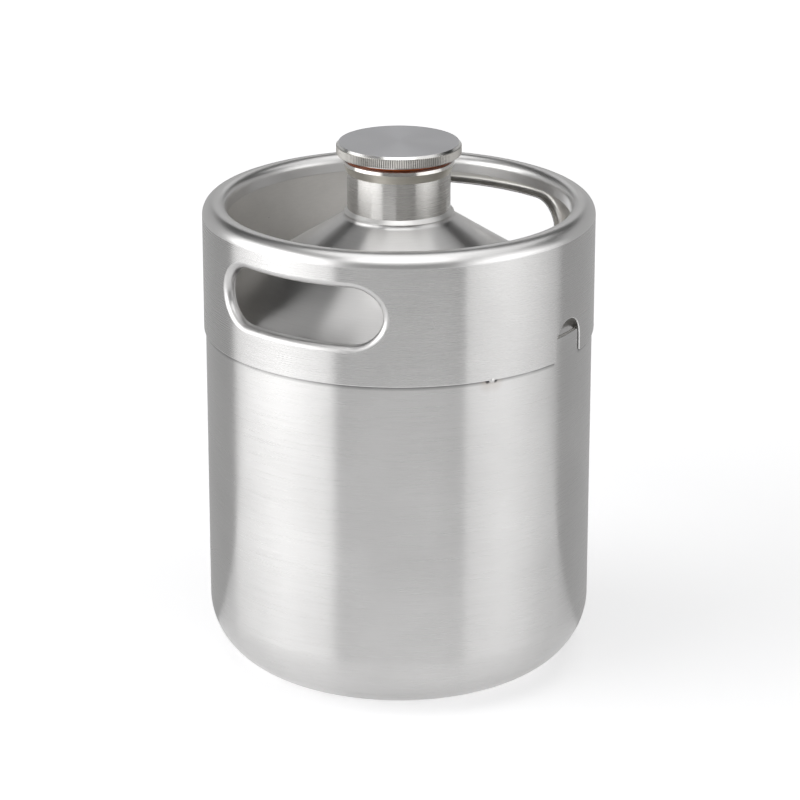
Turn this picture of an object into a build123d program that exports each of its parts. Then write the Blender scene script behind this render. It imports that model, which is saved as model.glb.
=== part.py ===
"""Two-litre stainless mini keg: a welded vessel, a rolled carrying collar and a knurled screw cap.

Millimetres, +Z up. The origin is on the keg's axis, on the surface that it stands on. The two
handle slots face -Y and +Y, and the two drain notches face -X and +X.
"""

from build123d import *

import os
from math import radians, tan

# Vessel: a deep-drawn cup and a pressed conical shoulder, welded at the cup's top edge.
body_radius = 66.35  # outside of the cup's wall
vessel_sheet = 0.8
cup_height = 127.8  # standing face to the cup's top edge
base_corner_radius = 22.7
foot_ring_width = 5.15  # flat ring that the keg stands on
base_panel_run = 5.0  # radial run of the slope from the ring up to the base panel
base_panel_rise = 2.6
base_panel_bend = 4.0
shoulder_slope = 32.6  # degrees above horizontal
shoulder_bend_radius = 3.0
skirt_depth = 5.0  # part of the shoulder that slips into the cup
upturn_bend_radius = 1.8  # at the upturned edge of the shoulder's hole
upturn_straight = 0.3

# Welds.
weld_gap = 0.05  # radial room between two pieces that are welded together
seam_bead_width = 1.2
seam_bead_height = 0.5
neck_bead_width = 1.1
neck_bead_height = 1.3
bead_flank_angle = 60.0  # degrees above the bead's seat
tack_radius = 1.15
tack_angle = 31.0  # degrees from the drain notch

# Neck: a turned ring that passes through the shoulder's upturned hole.
neck_radius = 17.6
neck_wall = 2.7  # to the root of the thread in the bore
neck_height = 18.2  # weld to the lip's top face
neck_insertion = 4.5  # length below the weld
lip_overhang = 1.3  # beyond the neck's outside
lip_edge_radius = 0.9
lip_band_height = 0.3  # between the lip's rounded edge and its taper
lip_taper_height = 3.1
mouth_chamfer = 0.5

# Carrying collar: a sheet sleeve over the cup's top, its upper edge rolled inward.
collar_sheet = 0.6
collar_overlap = 7.8  # length of the collar that sits over the cup
rim_outer_bend = 4.6
rim_inner_bend = 3.2
rim_flat = 0.5  # between the two bends
rim_lip_depth = 6.2  # rim's top to the edge of its turned-down lip

# Handle slots, with their edges drawn inward.
grip_width = 58.7
grip_opening = 19.9
grip_rise = 23.2  # collar's lower edge to the slot's centre line
grip_edge_radius = 2.2
grip_flange_depth = 3.6  # from the collar's outer face
grip_to_rim = 4.95  # plain wall between the slot's rounded edge and the rim's bend

# Drain notches in the collar's lower edge.
notch_width = 15.9
notch_height = 13.3

# Screw cap: a disc with a knurled band and a hollow threaded plug.
cap_overhang = 2.4  # beyond the neck's lip
cap_band_height = 2.8  # knurled band with its lower chamfer
cap_top_chamfer = 1.2
cap_bottom_chamfer = 0.35
thread_room = 1.1  # between the plug and the neck's bore, where their threads mesh
plug_length = 12.0  # below the neck's lip
plug_wall = 3.2
plug_end_chamfer = 0.8
cap_floor = 3.5  # solid metal between the cap's top face and the plug's bore

# Seal: a silicone ring in a groove under the disc, squeezed on the neck's lip.
seal_gap = 2.0  # between the lip and the disc's underside
seal_groove_depth = 0.6
seal_width = 3.2
seal_edge_chamfer = 0.9
seal_side_room = 0.3

# Radii that follow from the sizes above.
foot_ring_radius = body_radius - base_corner_radius - foot_ring_width
skirt_radius = body_radius - vessel_sheet - weld_gap
upturn_radius = neck_radius + weld_gap + vessel_sheet
collar_radius = body_radius + weld_gap + collar_sheet
rim_lip_radius = collar_radius - rim_outer_bend - rim_flat - rim_inner_bend
mouth_radius = neck_radius - neck_wall
lip_radius = neck_radius + lip_overhang
cap_radius = lip_radius + cap_overhang
plug_radius = mouth_radius - thread_room
seal_inner_radius = plug_radius + seal_side_room
seal_outer_radius = seal_inner_radius + seal_width
groove_radius = seal_outer_radius + seal_side_room

# Heights that follow from the sizes above.
bend_turn = radians(90 - shoulder_slope)
shoulder_corner_z = cup_height + shoulder_bend_radius * tan(bend_turn / 2)
cone_top_z = shoulder_corner_z + (skirt_radius - upturn_radius) / tan(bend_turn)
neck_weld_z = cone_top_z + upturn_bend_radius * tan(bend_turn / 2) + upturn_straight
lip_z = neck_weld_z + neck_height
taper_top_z = lip_z - lip_edge_radius - lip_band_height
collar_edge_z = cup_height - collar_overlap
grip_z = collar_edge_z + grip_rise
wall_top_z = grip_z + grip_opening / 2 + grip_edge_radius + grip_to_rim
rim_z = wall_top_z + rim_outer_bend
wall_split_z = wall_top_z - grip_to_rim / 2
cap_underside_z = lip_z + seal_gap
groove_z = cap_underside_z + seal_groove_depth
cap_top_z = cap_underside_z + cap_band_height + cap_top_chamfer
cutter_length = 3 * collar_radius


# Drawn cup: raised base panel, foot ring, wide base corner and straight wall, in one sheet.
with BuildPart() as body_cup:
    with BuildSketch(Plane.XZ):
        with BuildLine():
            FilletPolyline(
                (0, base_panel_rise),
                (foot_ring_radius - base_panel_run, base_panel_rise),
                (foot_ring_radius, 0),
                (body_radius, 0),
                (body_radius, cup_height),
                radius=[base_panel_bend, base_panel_bend, base_corner_radius],
            )
            offset(amount=vessel_sheet, side=Side.LEFT)
        make_face()
    revolve(axis=Axis.Z)
body_cup.part.label = "body_cup"


# Pressed shoulder: a skirt that slips into the cup, the cone, and the upturned neck hole.
with BuildPart() as shoulder_dome:
    with BuildSketch(Plane.XZ):
        with BuildLine():
            FilletPolyline(
                (skirt_radius, cup_height - skirt_depth),
                (skirt_radius, shoulder_corner_z),
                (upturn_radius, cone_top_z),
                (upturn_radius, neck_weld_z),
                radius=[shoulder_bend_radius, upturn_bend_radius],
            )
            offset(amount=vessel_sheet, side=Side.LEFT)
        make_face()
    revolve(axis=Axis.Z)
shoulder_dome.part.label = "shoulder_dome"


# Edge weld that closes the vessel: a low bead on the cup's top edge, against the shoulder's bend.
with BuildPart() as shoulder_seam_weld:
    with BuildSketch(Plane.XZ):
        with Locations((skirt_radius, cup_height)):
            Trapezoid(
                seam_bead_width,
                seam_bead_height,
                bead_flank_angle,
                align=(Align.CENTER, Align.MIN),
            )
    revolve(axis=Axis.Z)
    add(shoulder_dome.part, mode=Mode.SUBTRACT)
shoulder_seam_weld.part.label = "shoulder_seam_weld"


# Turned neck ring: plain bore for the cap's plug, tapered lip with a rounded edge.
with BuildPart() as neck_ring:
    with BuildSketch(Plane.XZ) as neck_section:
        with BuildLine():
            Polyline(
                (mouth_radius, neck_weld_z - neck_insertion),
                (neck_radius, neck_weld_z - neck_insertion),
                (neck_radius, taper_top_z - lip_taper_height),
                (lip_radius, taper_top_z),
                (lip_radius, lip_z),
                (mouth_radius, lip_z),
                close=True,
            )
        make_face()
        fillet(neck_section.vertices().group_by(Axis.Y)[-1].sort_by(Axis.X)[-1], lip_edge_radius)
        chamfer(neck_section.vertices().group_by(Axis.X)[0], mouth_chamfer)
    revolve(axis=Axis.Z)
neck_ring.part.label = "neck_ring"


# Weld bead between the neck and the upturned edge of the shoulder's hole.
with BuildPart() as neck_weld_bead:
    with BuildSketch(Plane.XZ):
        with Locations((neck_radius, neck_weld_z)):
            Trapezoid(
                neck_bead_width,
                neck_bead_height,
                90,
                bead_flank_angle,
                align=(Align.MIN, Align.MIN),
            )
    revolve(axis=Axis.Z)
neck_weld_bead.part.label = "neck_weld_bead"


# The collar's wall is the space between two forms: its outside and, one sheet deeper, its inside.
def grip_form(depth):
    """Return a cylinder at this depth in the sheet, with the handle slots cut and their mouths rounded."""
    with BuildPart() as form:
        with Locations((0, 0, collar_edge_z)):
            Cylinder(
                collar_radius - depth,
                wall_split_z - collar_edge_z,
                align=(Align.CENTER, Align.CENTER, Align.MIN),
            )
        with BuildSketch(Plane.XZ):
            with Locations((0, grip_z)):
                SlotOverall(grip_width + 2 * depth, grip_opening + 2 * depth)
        extrude(amount=cutter_length, both=True, mode=Mode.SUBTRACT)
        wall = form.faces().filter_by(GeomType.CYLINDER).sort_by(SortBy.AREA)[-1]
        fillet(wall.inner_wires().edges(), grip_edge_radius - depth)
    return form.part


# Carrying collar: wall with the drawn handle slots, rolled rim and drain notches.
with BuildPart() as handle_collar:
    add(grip_form(0))
    add(grip_form(collar_sheet), mode=Mode.SUBTRACT)
    with Locations((0, 0, collar_edge_z)):
        Cylinder(
            collar_radius - grip_flange_depth,
            cutter_length,
            align=(Align.CENTER, Align.CENTER, Align.MIN),
            mode=Mode.SUBTRACT,
        )
    with BuildSketch(Plane.XZ):
        with BuildLine():
            FilletPolyline(
                (collar_radius, wall_split_z),
                (collar_radius, rim_z),
                (rim_lip_radius, rim_z),
                (rim_lip_radius, rim_z - rim_lip_depth),
                radius=[rim_outer_bend, rim_inner_bend],
            )
            offset(amount=collar_sheet, side=Side.LEFT)
        make_face()
    revolve(axis=Axis.Z)
    with BuildSketch(Plane.YZ):
        with Locations((0, collar_edge_z)):
            SlotOverall(2 * notch_height, notch_width, rotation=90)
    extrude(amount=cutter_length, both=True, mode=Mode.SUBTRACT)
handle_collar.part.label = "handle_collar"


# Tack welds under the collar's lower edge, flush with the collar's face.
with BuildPart() as collar_tack_welds:
    for notch in (0, 180):
        for angle in (notch - tack_angle, notch + tack_angle):
            with Locations(Location((0, 0, collar_edge_z), (0, 0, angle))):
                Cylinder(
                    tack_radius,
                    collar_radius,
                    rotation=(0, 90, 0),
                    align=(Align.CENTER, Align.CENTER, Align.MIN),
                )
    split(bisect_by=Plane.XY.offset(collar_edge_z), keep=Keep.BOTTOM)
    with Locations((0, 0, collar_edge_z)):
        Cylinder(body_radius, cutter_length, mode=Mode.SUBTRACT)
collar_tack_welds.part.label = "collar_tack_welds"


# Turned screw cap: disc with a band for the knurl, seal groove and a plug bored from below.
with BuildPart() as screw_cap:
    with BuildSketch(Plane.XZ) as cap_section:
        with BuildLine():
            Polyline(
                (0, cap_top_z),
                (cap_radius, cap_top_z),
                (cap_radius, cap_underside_z),
                (groove_radius, cap_underside_z),
                (groove_radius, groove_z),
                (plug_radius, groove_z),
                (plug_radius, lip_z - plug_length),
                (plug_radius - plug_wall, lip_z - plug_length),
                (plug_radius - plug_wall, cap_top_z - cap_floor),
                (0, cap_top_z - cap_floor),
                close=True,
            )
        make_face()
        band_corners = cap_section.vertices().group_by(Axis.X)[-1].sort_by(Axis.Y)
        plug_corner = cap_section.vertices().group_by(Axis.Y)[0].sort_by(Axis.X)[-1]
        chamfer(band_corners[-1], cap_top_chamfer)
        chamfer(band_corners[0], cap_bottom_chamfer)
        chamfer(plug_corner, plug_end_chamfer)
    revolve(axis=Axis.Z)
screw_cap.part.label = "screw_cap"


# Silicone ring, squeezed between the groove's floor and the neck's lip.
with BuildPart() as cap_seal:
    with BuildSketch(Plane.XZ) as seal_section:
        with Locations((seal_inner_radius, lip_z)):
            Rectangle(seal_width, seal_gap + seal_groove_depth, align=(Align.MIN, Align.MIN))
        chamfer(seal_section.vertices(), seal_edge_chamfer)
    revolve(axis=Axis.Z)
cap_seal.part.label = "cap_seal"


os.makedirs("parts", exist_ok=True)
for piece in (
    body_cup,
    shoulder_dome,
    shoulder_seam_weld,
    neck_ring,
    neck_weld_bead,
    handle_collar,
    collar_tack_welds,
    screw_cap,
    cap_seal,
):
    export_step(piece.part, f"parts/{piece.part.label}.step")
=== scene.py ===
"""Looks of a two-litre stainless mini keg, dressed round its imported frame.

Every turned piece is lathed from its real section with small rounded edges, the carrying collar is
laid out as a developed sheet with drawn handle slots, and threads and knurling follow their rules in
Geometry Nodes. Sizes are in millimetres and meshes in metres, in the frame's own axes.
"""

import logging
import math
from collections.abc import Callable
from dataclasses import dataclass, replace
from enum import Enum, IntEnum

import bmesh
import bpy
import numpy as np
from mathutils import Matrix, Vector


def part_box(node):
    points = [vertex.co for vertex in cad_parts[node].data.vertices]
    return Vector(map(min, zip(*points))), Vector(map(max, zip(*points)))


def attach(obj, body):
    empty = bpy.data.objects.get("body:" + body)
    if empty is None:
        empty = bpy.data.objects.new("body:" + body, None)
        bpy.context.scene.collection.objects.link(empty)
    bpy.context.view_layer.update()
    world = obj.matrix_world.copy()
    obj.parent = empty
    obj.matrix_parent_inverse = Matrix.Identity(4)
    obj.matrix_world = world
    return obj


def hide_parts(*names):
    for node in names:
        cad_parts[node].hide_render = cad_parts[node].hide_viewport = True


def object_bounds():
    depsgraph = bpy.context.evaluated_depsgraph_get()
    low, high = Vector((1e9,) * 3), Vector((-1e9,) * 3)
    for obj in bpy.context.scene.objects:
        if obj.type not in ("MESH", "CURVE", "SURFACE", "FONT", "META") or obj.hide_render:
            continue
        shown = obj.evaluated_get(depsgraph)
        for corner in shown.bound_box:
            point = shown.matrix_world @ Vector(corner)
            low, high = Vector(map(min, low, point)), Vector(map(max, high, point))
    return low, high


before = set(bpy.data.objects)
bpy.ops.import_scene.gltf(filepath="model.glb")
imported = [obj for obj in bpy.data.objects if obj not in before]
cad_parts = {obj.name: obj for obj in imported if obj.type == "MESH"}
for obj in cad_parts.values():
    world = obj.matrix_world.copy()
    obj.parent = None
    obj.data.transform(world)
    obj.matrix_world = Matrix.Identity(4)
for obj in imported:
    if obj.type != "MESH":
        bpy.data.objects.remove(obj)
cad_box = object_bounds()

log = logging.getLogger("mini_keg")

MM = 0.001
COLUMNS = 384  # steps round the keg's axis
QUARTER = COLUMNS // 4
ARC_STEP = math.radians(5)  # turn between two points of a rounded corner
FINE_ARC_STEP = math.radians(3)
EDGE_TURNS = np.linspace(0, math.pi / 2, 4)  # a quarter turn, for an edge of the collar
SHEET_TURNS = np.linspace(0, math.pi / 2, 5)  # a quarter turn, for an edge of a turned sheet
FINE_EDGE = 0.12  # radius of a deburred edge
FACE_MARGIN = 0.02  # keeps the round edge of a flat face in the flat face's finish
NARROW = 1e-3  # left straight between two bends that would meet
MERGE_DISTANCE = 2e-6  # metres
HORIZON = 1e-6  # the least fall of a line that meets the floor
NOISE_RANGE = (0.3, 0.7)  # nearly all values of a noise lie between these
SCRATCH_ROUGHNESS = 0.15


# ---------------------------------------------------------------------------------------------
# Sections and skins
# ---------------------------------------------------------------------------------------------


class Run:
    """A plane line with a normal at each point, on the right-hand side of its travel."""

    def __init__(self, points: np.ndarray, normals: np.ndarray) -> None:
        """Keep the points and normals.

        Args:
            points: One row of two coordinates per point, in millimetres.
            normals: One unit row per point.
        """
        self.points = points
        self.normals = normals
        steps = np.linalg.norm(np.diff(points, axis=0), axis=1)
        self.stations = np.concatenate([[0.0], np.cumsum(steps)])

    @property
    def length(self) -> float:
        """Measure the run.

        Returns:
            Its length, in millimetres.
        """
        return float(self.stations[-1])

    @classmethod
    def through(cls, corners: list[tuple[float, ...]], step: float = ARC_STEP) -> "Run":
        """Make an open run through corners, each with the radius of its bend.

        Args:
            corners: Rows of two coordinates and a bend radius. The first and last take no radius.
            step: Turn between two points of a bend, in radians.

        Returns:
            The run, with a point at each end of every bend.
        """
        places = [np.array(c[:2], float) for c in corners]
        headings = [heading(places[i + 1] - places[i]) for i in range(len(places) - 1)]
        points, normals = [places[0]], [right_of(headings[0])]
        for i in range(1, len(places) - 1):
            arc = bend(places[i], headings[i - 1], headings[i], corners[i][2], step)
            points += arc[0]
            normals += arc[1]
        points.append(places[-1])
        normals.append(right_of(headings[-1]))
        return cls(np.array(points), np.array(normals))

    @classmethod
    def loop(cls, corners: list[tuple[float, float, float]], step: float = ARC_STEP) -> "Run":
        """Make a closed run through corners, whose last point repeats its first.

        Args:
            corners: Rows of two coordinates and a bend radius.
            step: Turn between two points of a bend, in radians.

        Returns:
            The run, starting at the end of the first corner's bend.
        """
        places = [np.array(c[:2], float) for c in corners]
        count = len(places)
        headings = [heading(places[(i + 1) % count] - places[i]) for i in range(count)]
        points, normals = [], []
        for i in list(range(1, count)) + [0]:
            arc = bend(places[i], headings[i - 1], headings[i], corners[i][2], step)
            points += arc[0]
            normals += arc[1]
        points.insert(0, points[-1])
        normals.insert(0, normals[-1])
        return cls(np.array(points), np.array(normals))

    def at(self, stations: np.ndarray) -> tuple[np.ndarray, np.ndarray]:
        """Read the run at some places.

        Args:
            stations: Lengths along the run.

        Returns:
            The points there and their unit normals.
        """
        points = np.stack([np.interp(stations, self.stations, c) for c in self.points.T], axis=1)
        normals = np.stack([np.interp(stations, self.stations, c) for c in self.normals.T], axis=1)
        return points, normals / np.linalg.norm(normals, axis=1)[:, None]

    def spread(self, cuts: list[float], counts: list[int]) -> "Run":
        """Space points evenly between cuts.

        Args:
            cuts: Lengths along the run where stretches begin and end.
            counts: Steps in each stretch.

        Returns:
            A run with a point at each step.
        """
        stretches = [
            np.linspace(a, b, n, endpoint=False) for a, b, n in zip(cuts[:-1], cuts[1:], counts)
        ]
        return Run(*self.at(np.concatenate([*stretches, [cuts[-1]]])))

    def shifted(self, distance: float) -> np.ndarray:
        """Move the run's points along their normals.

        Args:
            distance: How far.

        Returns:
            The moved points.
        """
        return self.points + distance * self.normals


def heading(step: np.ndarray) -> float:
    """Find the direction of a step.

    Args:
        step: The step.

    Returns:
        Its direction, in radians.
    """
    return math.atan2(step[1], step[0])


def right_of(direction: float) -> np.ndarray:
    """Find the unit vector to the right of a direction.

    Args:
        direction: The direction, in radians.

    Returns:
        The vector.
    """
    return np.array([math.sin(direction), -math.cos(direction)])


def bend(
    corner: np.ndarray, before: float, after: float, radius: float, step: float
) -> tuple[list[np.ndarray], list[np.ndarray]]:
    """Round a corner with an arc.

    Args:
        corner: The corner's place.
        before: Direction of travel into the corner.
        after: Direction of travel out of it.
        radius: The arc's radius.
        step: Turn between two points.

    Returns:
        The arc's points and its normals, to the right of travel.
    """
    turn = (after - before + math.pi) % (2 * math.pi) - math.pi
    side = math.copysign(1, turn)
    along = np.array([math.cos(before), math.sin(before)])
    start = corner - along * radius * math.tan(abs(turn) / 2)
    centre = start - side * radius * right_of(before)
    count = max(2, math.ceil(abs(turn) / step))
    normals = [right_of(before + turn * i / count) for i in range(count + 1)]
    return [centre + side * radius * n for n in normals], normals


def rounded_end(tip: np.ndarray, out: np.ndarray, forward: np.ndarray, sheet: float, edge: float) -> Run:
    """Round the end of a sheet, from its outer face to its inner one.

    Args:
        tip: Where the outer face's rounding begins.
        out: Normal of the outer face there.
        forward: Direction out of the sheet's end.
        sheet: Thickness of the sheet.
        edge: Radius of its edges.

    Returns:
        The run round both edges.
    """
    outer = [math.cos(t) * out + math.sin(t) * forward for t in SHEET_TURNS]
    inner = [math.cos(t) * forward - math.sin(t) * out for t in SHEET_TURNS]
    points = [tip - edge * out + edge * normal for normal in outer]
    points += [tip - (sheet - edge) * out + edge * normal for normal in inner]
    return Run(np.array(points), np.array(outer + inner))


def sheet_section(face: Run, sheet: float, edge: float, caps: tuple[bool, bool]) -> Run:
    """Give a sheet's outer face its thickness, with rounded edges at the ends asked for.

    Args:
        face: The outer face, its normals pointing out of the sheet.
        sheet: Thickness of the sheet.
        edge: Radius of the edges.
        caps: Whether the start and the end of the face have an edge. An end on the axis has none.

    Returns:
        The run down the outer face and back along the inner one.
    """
    outer, inner = face.points.copy(), face.shifted(-sheet)
    ends = {}
    for end, capped in ((0, caps[0]), (-1, caps[1])):
        if capped:
            out = face.normals[end]
            forward = np.array([-out[1], out[0]]) * (1 if end else -1)
            outer[end] = outer[end] - edge * forward
            inner[end] = outer[end] - sheet * out
            ends[end] = rounded_end(outer[end], out, forward, sheet, edge)
    points, normals = [outer, inner[::-1]], [face.normals, -face.normals[::-1]]
    if -1 in ends:
        points.insert(1, ends[-1].points[1:-1])
        normals.insert(1, ends[-1].normals[1:-1])
    if 0 in ends:
        points.append(ends[0].points[::-1][1:])
        normals.append(ends[0].normals[::-1][1:])
    return Run(np.concatenate(points), np.concatenate(normals))


def placed(name: str, data: bpy.types.ID) -> bpy.types.Object:
    """Make an object and put it in the scene.

    Args:
        name: Name of the object.
        data: Its mesh, lamp or camera.

    Returns:
        The object, at the origin.
    """
    obj = bpy.data.objects.new(name, data)
    bpy.context.scene.collection.objects.link(obj)
    return obj


class Skin:
    """Faces of one piece with their exact normals, gathered in millimetres."""

    def __init__(self) -> None:
        """Start with no faces."""
        self.points: list[np.ndarray] = []
        self.normals: list[np.ndarray] = []
        self.faces: list[tuple[int, ...]] = []
        self.finishes: list[int] = []
        self.count = 0

    def grid(self, points: np.ndarray, normals: np.ndarray, finish: int | list[int] = 0) -> None:
        """Add a grid of faces, turned so that each looks along its normals.

        Args:
            points: Array of rows, columns and three coordinates.
            normals: Unit normals in the same layout.
            finish: Index of the faces' material, or one for each row of faces.
        """
        rows, columns = points.shape[:2]
        base = self.count + np.arange(rows * columns).reshape(rows, columns)
        self.points.append(points.reshape(-1, 3))
        self.normals.append(normals.reshape(-1, 3))
        self.count += rows * columns
        corners = np.stack([base[:-1, :-1], base[1:, :-1], base[1:, 1:], base[:-1, 1:]], axis=-1)
        corners = corners.reshape(-1, 4)
        local = corners - base[0, 0]
        flat_points, flat_normals = points.reshape(-1, 3), normals.reshape(-1, 3)
        facing = np.cross(
            flat_points[local[:, 2]] - flat_points[local[:, 0]],
            flat_points[local[:, 3]] - flat_points[local[:, 1]],
        )
        backwards = np.einsum("ij,ij->i", facing, flat_normals[local].sum(axis=1)) < 0
        corners[backwards] = corners[backwards][:, ::-1]
        self.faces += [tuple(c) for c in corners]
        by_row = [finish] * (rows - 1) if isinstance(finish, int) else finish
        self.finishes += [index for index in by_row for _ in range(columns - 1)]

    def turn(
        self, section: Run, finish: int | Callable[[float, float], int] = 0, columns: int = COLUMNS
    ) -> None:
        """Turn a section of radius and height round the keg's axis.

        Args:
            section: The section, its normals pointing out of the metal.
            finish: Index of the faces' material, or a rule that gives it for a radius and height.
            columns: Steps of the full turn.
        """
        if callable(finish):
            middles = (section.points[1:] + section.points[:-1]) / 2
            finish = [finish(float(radius), float(height)) for radius, height in middles]
        angles = np.linspace(0, 2 * math.pi, columns + 1)
        across, upward = np.cos(angles), np.sin(angles)
        self.grid(*(
            np.stack([np.outer(a, across), np.outer(a, upward), np.outer(b, np.ones_like(angles))], axis=-1)
            for a, b in (section.points.T, section.normals.T)
        ), finish)

    def piece(self, name: str, materials: list[bpy.types.Material]) -> bpy.types.Object:
        """Make the finished object: doubles merged, normals set, closed at its poles.

        Args:
            name: Name of the piece.
            materials: Materials in the order of the finish indices.

        Returns:
            The object, at the origin, in metres.
        """
        mesh = bpy.data.meshes.new(name)
        mesh.from_pydata((np.concatenate(self.points) * MM).tolist(), [], self.faces)
        mesh.polygons.foreach_set("material_index", self.finishes)
        outward = mesh.attributes.new("outward", "FLOAT_VECTOR", "POINT")
        outward.data.foreach_set("vector", np.concatenate(self.normals).astype(np.float32).ravel())
        work = bmesh.new()
        work.from_mesh(mesh)
        bmesh.ops.remove_doubles(work, verts=work.verts, dist=MERGE_DISTANCE)
        bmesh.ops.dissolve_degenerate(work, edges=work.edges, dist=MERGE_DISTANCE / 2)
        work.to_mesh(mesh)
        work.free()
        for material in materials:
            mesh.materials.append(material)
        mesh.polygons.foreach_set("use_smooth", [True] * len(mesh.polygons))
        values = np.zeros(len(mesh.vertices) * 3, np.float32)
        mesh.attributes["outward"].data.foreach_get("vector", values)
        mesh.normals_split_custom_set_from_vertices(values.reshape(-1, 3).tolist())
        mesh.attributes.remove(mesh.attributes["outward"])
        return placed(name, mesh)


@dataclass(frozen=True)
class Extent:
    """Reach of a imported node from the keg's axis, in millimetres."""

    radius: float
    low: float
    high: float

    @classmethod
    def of(cls, node: str) -> "Extent":
        """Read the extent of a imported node.

        Args:
            node: The node's name.

        Returns:
            Its extent.
        """
        low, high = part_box(node)
        return cls(round(high.x / MM, 3), round(low.z / MM, 3), round(high.z / MM, 3))


def adopt(piece: bpy.types.Object, body: str, slot: str, *nodes: str) -> bpy.types.Object:
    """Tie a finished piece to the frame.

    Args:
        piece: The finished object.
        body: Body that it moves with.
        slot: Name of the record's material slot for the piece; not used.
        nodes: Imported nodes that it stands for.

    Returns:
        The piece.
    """
    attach(piece, body)
    if nodes:
        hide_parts(*nodes)
    log.info("%s: %d faces on body %s", piece.name, len(piece.data.polygons), body)
    return piece


# ---------------------------------------------------------------------------------------------
# Shader groups and finishes
# ---------------------------------------------------------------------------------------------


class Graph:
    """A node tree with short calls for adding and joining nodes."""

    def __init__(self, tree: bpy.types.NodeTree) -> None:
        """Keep the tree.

        Args:
            tree: The node tree to add to.
        """
        self.tree = tree

    def add(self, kind: str, values: dict | None = None, **settings: object) -> bpy.types.Node:
        """Add a node.

        Args:
            kind: The node's type name.
            values: Values or sockets for its inputs, by name or index.
            settings: Properties of the node.

        Returns:
            The new node.
        """
        node = self.tree.nodes.new(kind)
        for name, value in settings.items():
            setattr(node, name, value)
        for key, value in (values or {}).items():
            if isinstance(value, bpy.types.NodeSocket):
                self.tree.links.new(value, node.inputs[key])
            else:
                node.inputs[key].default_value = value
        return node

    def join(self, start: bpy.types.NodeSocket, end: bpy.types.NodeSocket) -> None:
        """Link two sockets.

        Args:
            start: An output.
            end: An input.
        """
        self.tree.links.new(start, end)

    def math(self, operation: str, *values: object) -> bpy.types.NodeSocket:
        """Add a Math node.

        Args:
            operation: The node's operation.
            values: Numbers or sockets for its inputs.

        Returns:
            Its result.
        """
        return self.add("ShaderNodeMath", dict(enumerate(values)), operation=operation).outputs[0]

    def length(self, first: bpy.types.NodeSocket, second: bpy.types.NodeSocket) -> bpy.types.NodeSocket:
        """Find the length of a vector in a plane.

        Args:
            first: The vector's first part.
            second: Its second part.

        Returns:
            The length.
        """
        squares = [self.math("MULTIPLY", part, part) for part in (first, second)]
        return self.math("SQRT", self.math("ADD", *squares))

    def parts(self, vector: bpy.types.NodeSocket) -> bpy.types.NodeOutputs:
        """Take a vector apart.

        Args:
            vector: The vector.

        Returns:
            Its three coordinates.
        """
        return self.add("ShaderNodeSeparateXYZ", {0: vector}).outputs

    def vector(self, x: object = 0.0, y: object = 0.0, z: object = 0.0) -> bpy.types.NodeSocket:
        """Put a vector together from numbers or sockets.

        Args:
            x: First coordinate.
            y: Second coordinate.
            z: Third coordinate.

        Returns:
            The vector.
        """
        return self.add("ShaderNodeCombineXYZ", {0: x, 1: y, 2: z}).outputs[0]

    def scaled(self, vector: object, factor: object) -> bpy.types.NodeSocket:
        """Multiply a vector or colour by a number.

        Args:
            vector: The vector, or its socket.
            factor: The number, or its socket.

        Returns:
            The result.
        """
        return self.add("ShaderNodeVectorMath", {0: vector, "Scale": factor}, operation="SCALE").outputs[0]

    def blend(self, factor: object, first: object, second: object) -> bpy.types.NodeSocket:
        """Mix two colours.

        Args:
            factor: Share of the second colour.
            first: The first colour, or its socket.
            second: The second colour, or its socket.

        Returns:
            The mixed colour.
        """
        return self.add("ShaderNodeMix", {0: factor, 6: first, 7: second}, data_type="RGBA").outputs[2]

    def spread(
        self, value: object, low: object, high: object, to_low: float, to_high: float
    ) -> bpy.types.NodeSocket:
        """Map one range of values to another, clamped.

        Args:
            value: The value, or its socket.
            low: Start of its range.
            high: End of its range.
            to_low: Result at the start.
            to_high: Result at the end.

        Returns:
            The result.
        """
        return self.add("ShaderNodeMapRange", {
            "Value": value, "From Min": low, "From Max": high, "To Min": to_low, "To Max": to_high,
        }).outputs["Result"]

    def noise(self, vector: bpy.types.NodeSocket, scale: object, detail: float) -> bpy.types.NodeSocket:
        """Add a noise texture.

        Args:
            vector: Where to read it.
            scale: Its scale, or the scale's socket.
            detail: Its detail.

        Returns:
            The noise, mostly between 0.3 and 0.7.
        """
        values = {"Vector": vector, "Scale": scale, "Detail": detail}
        return self.add("ShaderNodeTexNoise", values).outputs["Fac"]

    def bump(self, height: bpy.types.NodeSocket, strength: float, distance: float) -> bpy.types.NodeSocket:
        """Tilt a surface by a height.

        Args:
            height: The height, from 0 to 1.
            strength: How much of the tilt shows.
            distance: Height in metres where it is 1.

        Returns:
            The tilted normal.
        """
        values = {"Height": height, "Strength": strength, "Distance": distance}
        return self.add("ShaderNodeBump", values).outputs[0]


class Socket(Enum):
    """Kinds of a group's sockets."""

    VALUE = "NodeSocketFloat"
    COUNT = "NodeSocketInt"
    VECTOR = "NodeSocketVector"
    GEOMETRY = "NodeSocketGeometry"
    MATERIAL = "NodeSocketMaterial"


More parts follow.
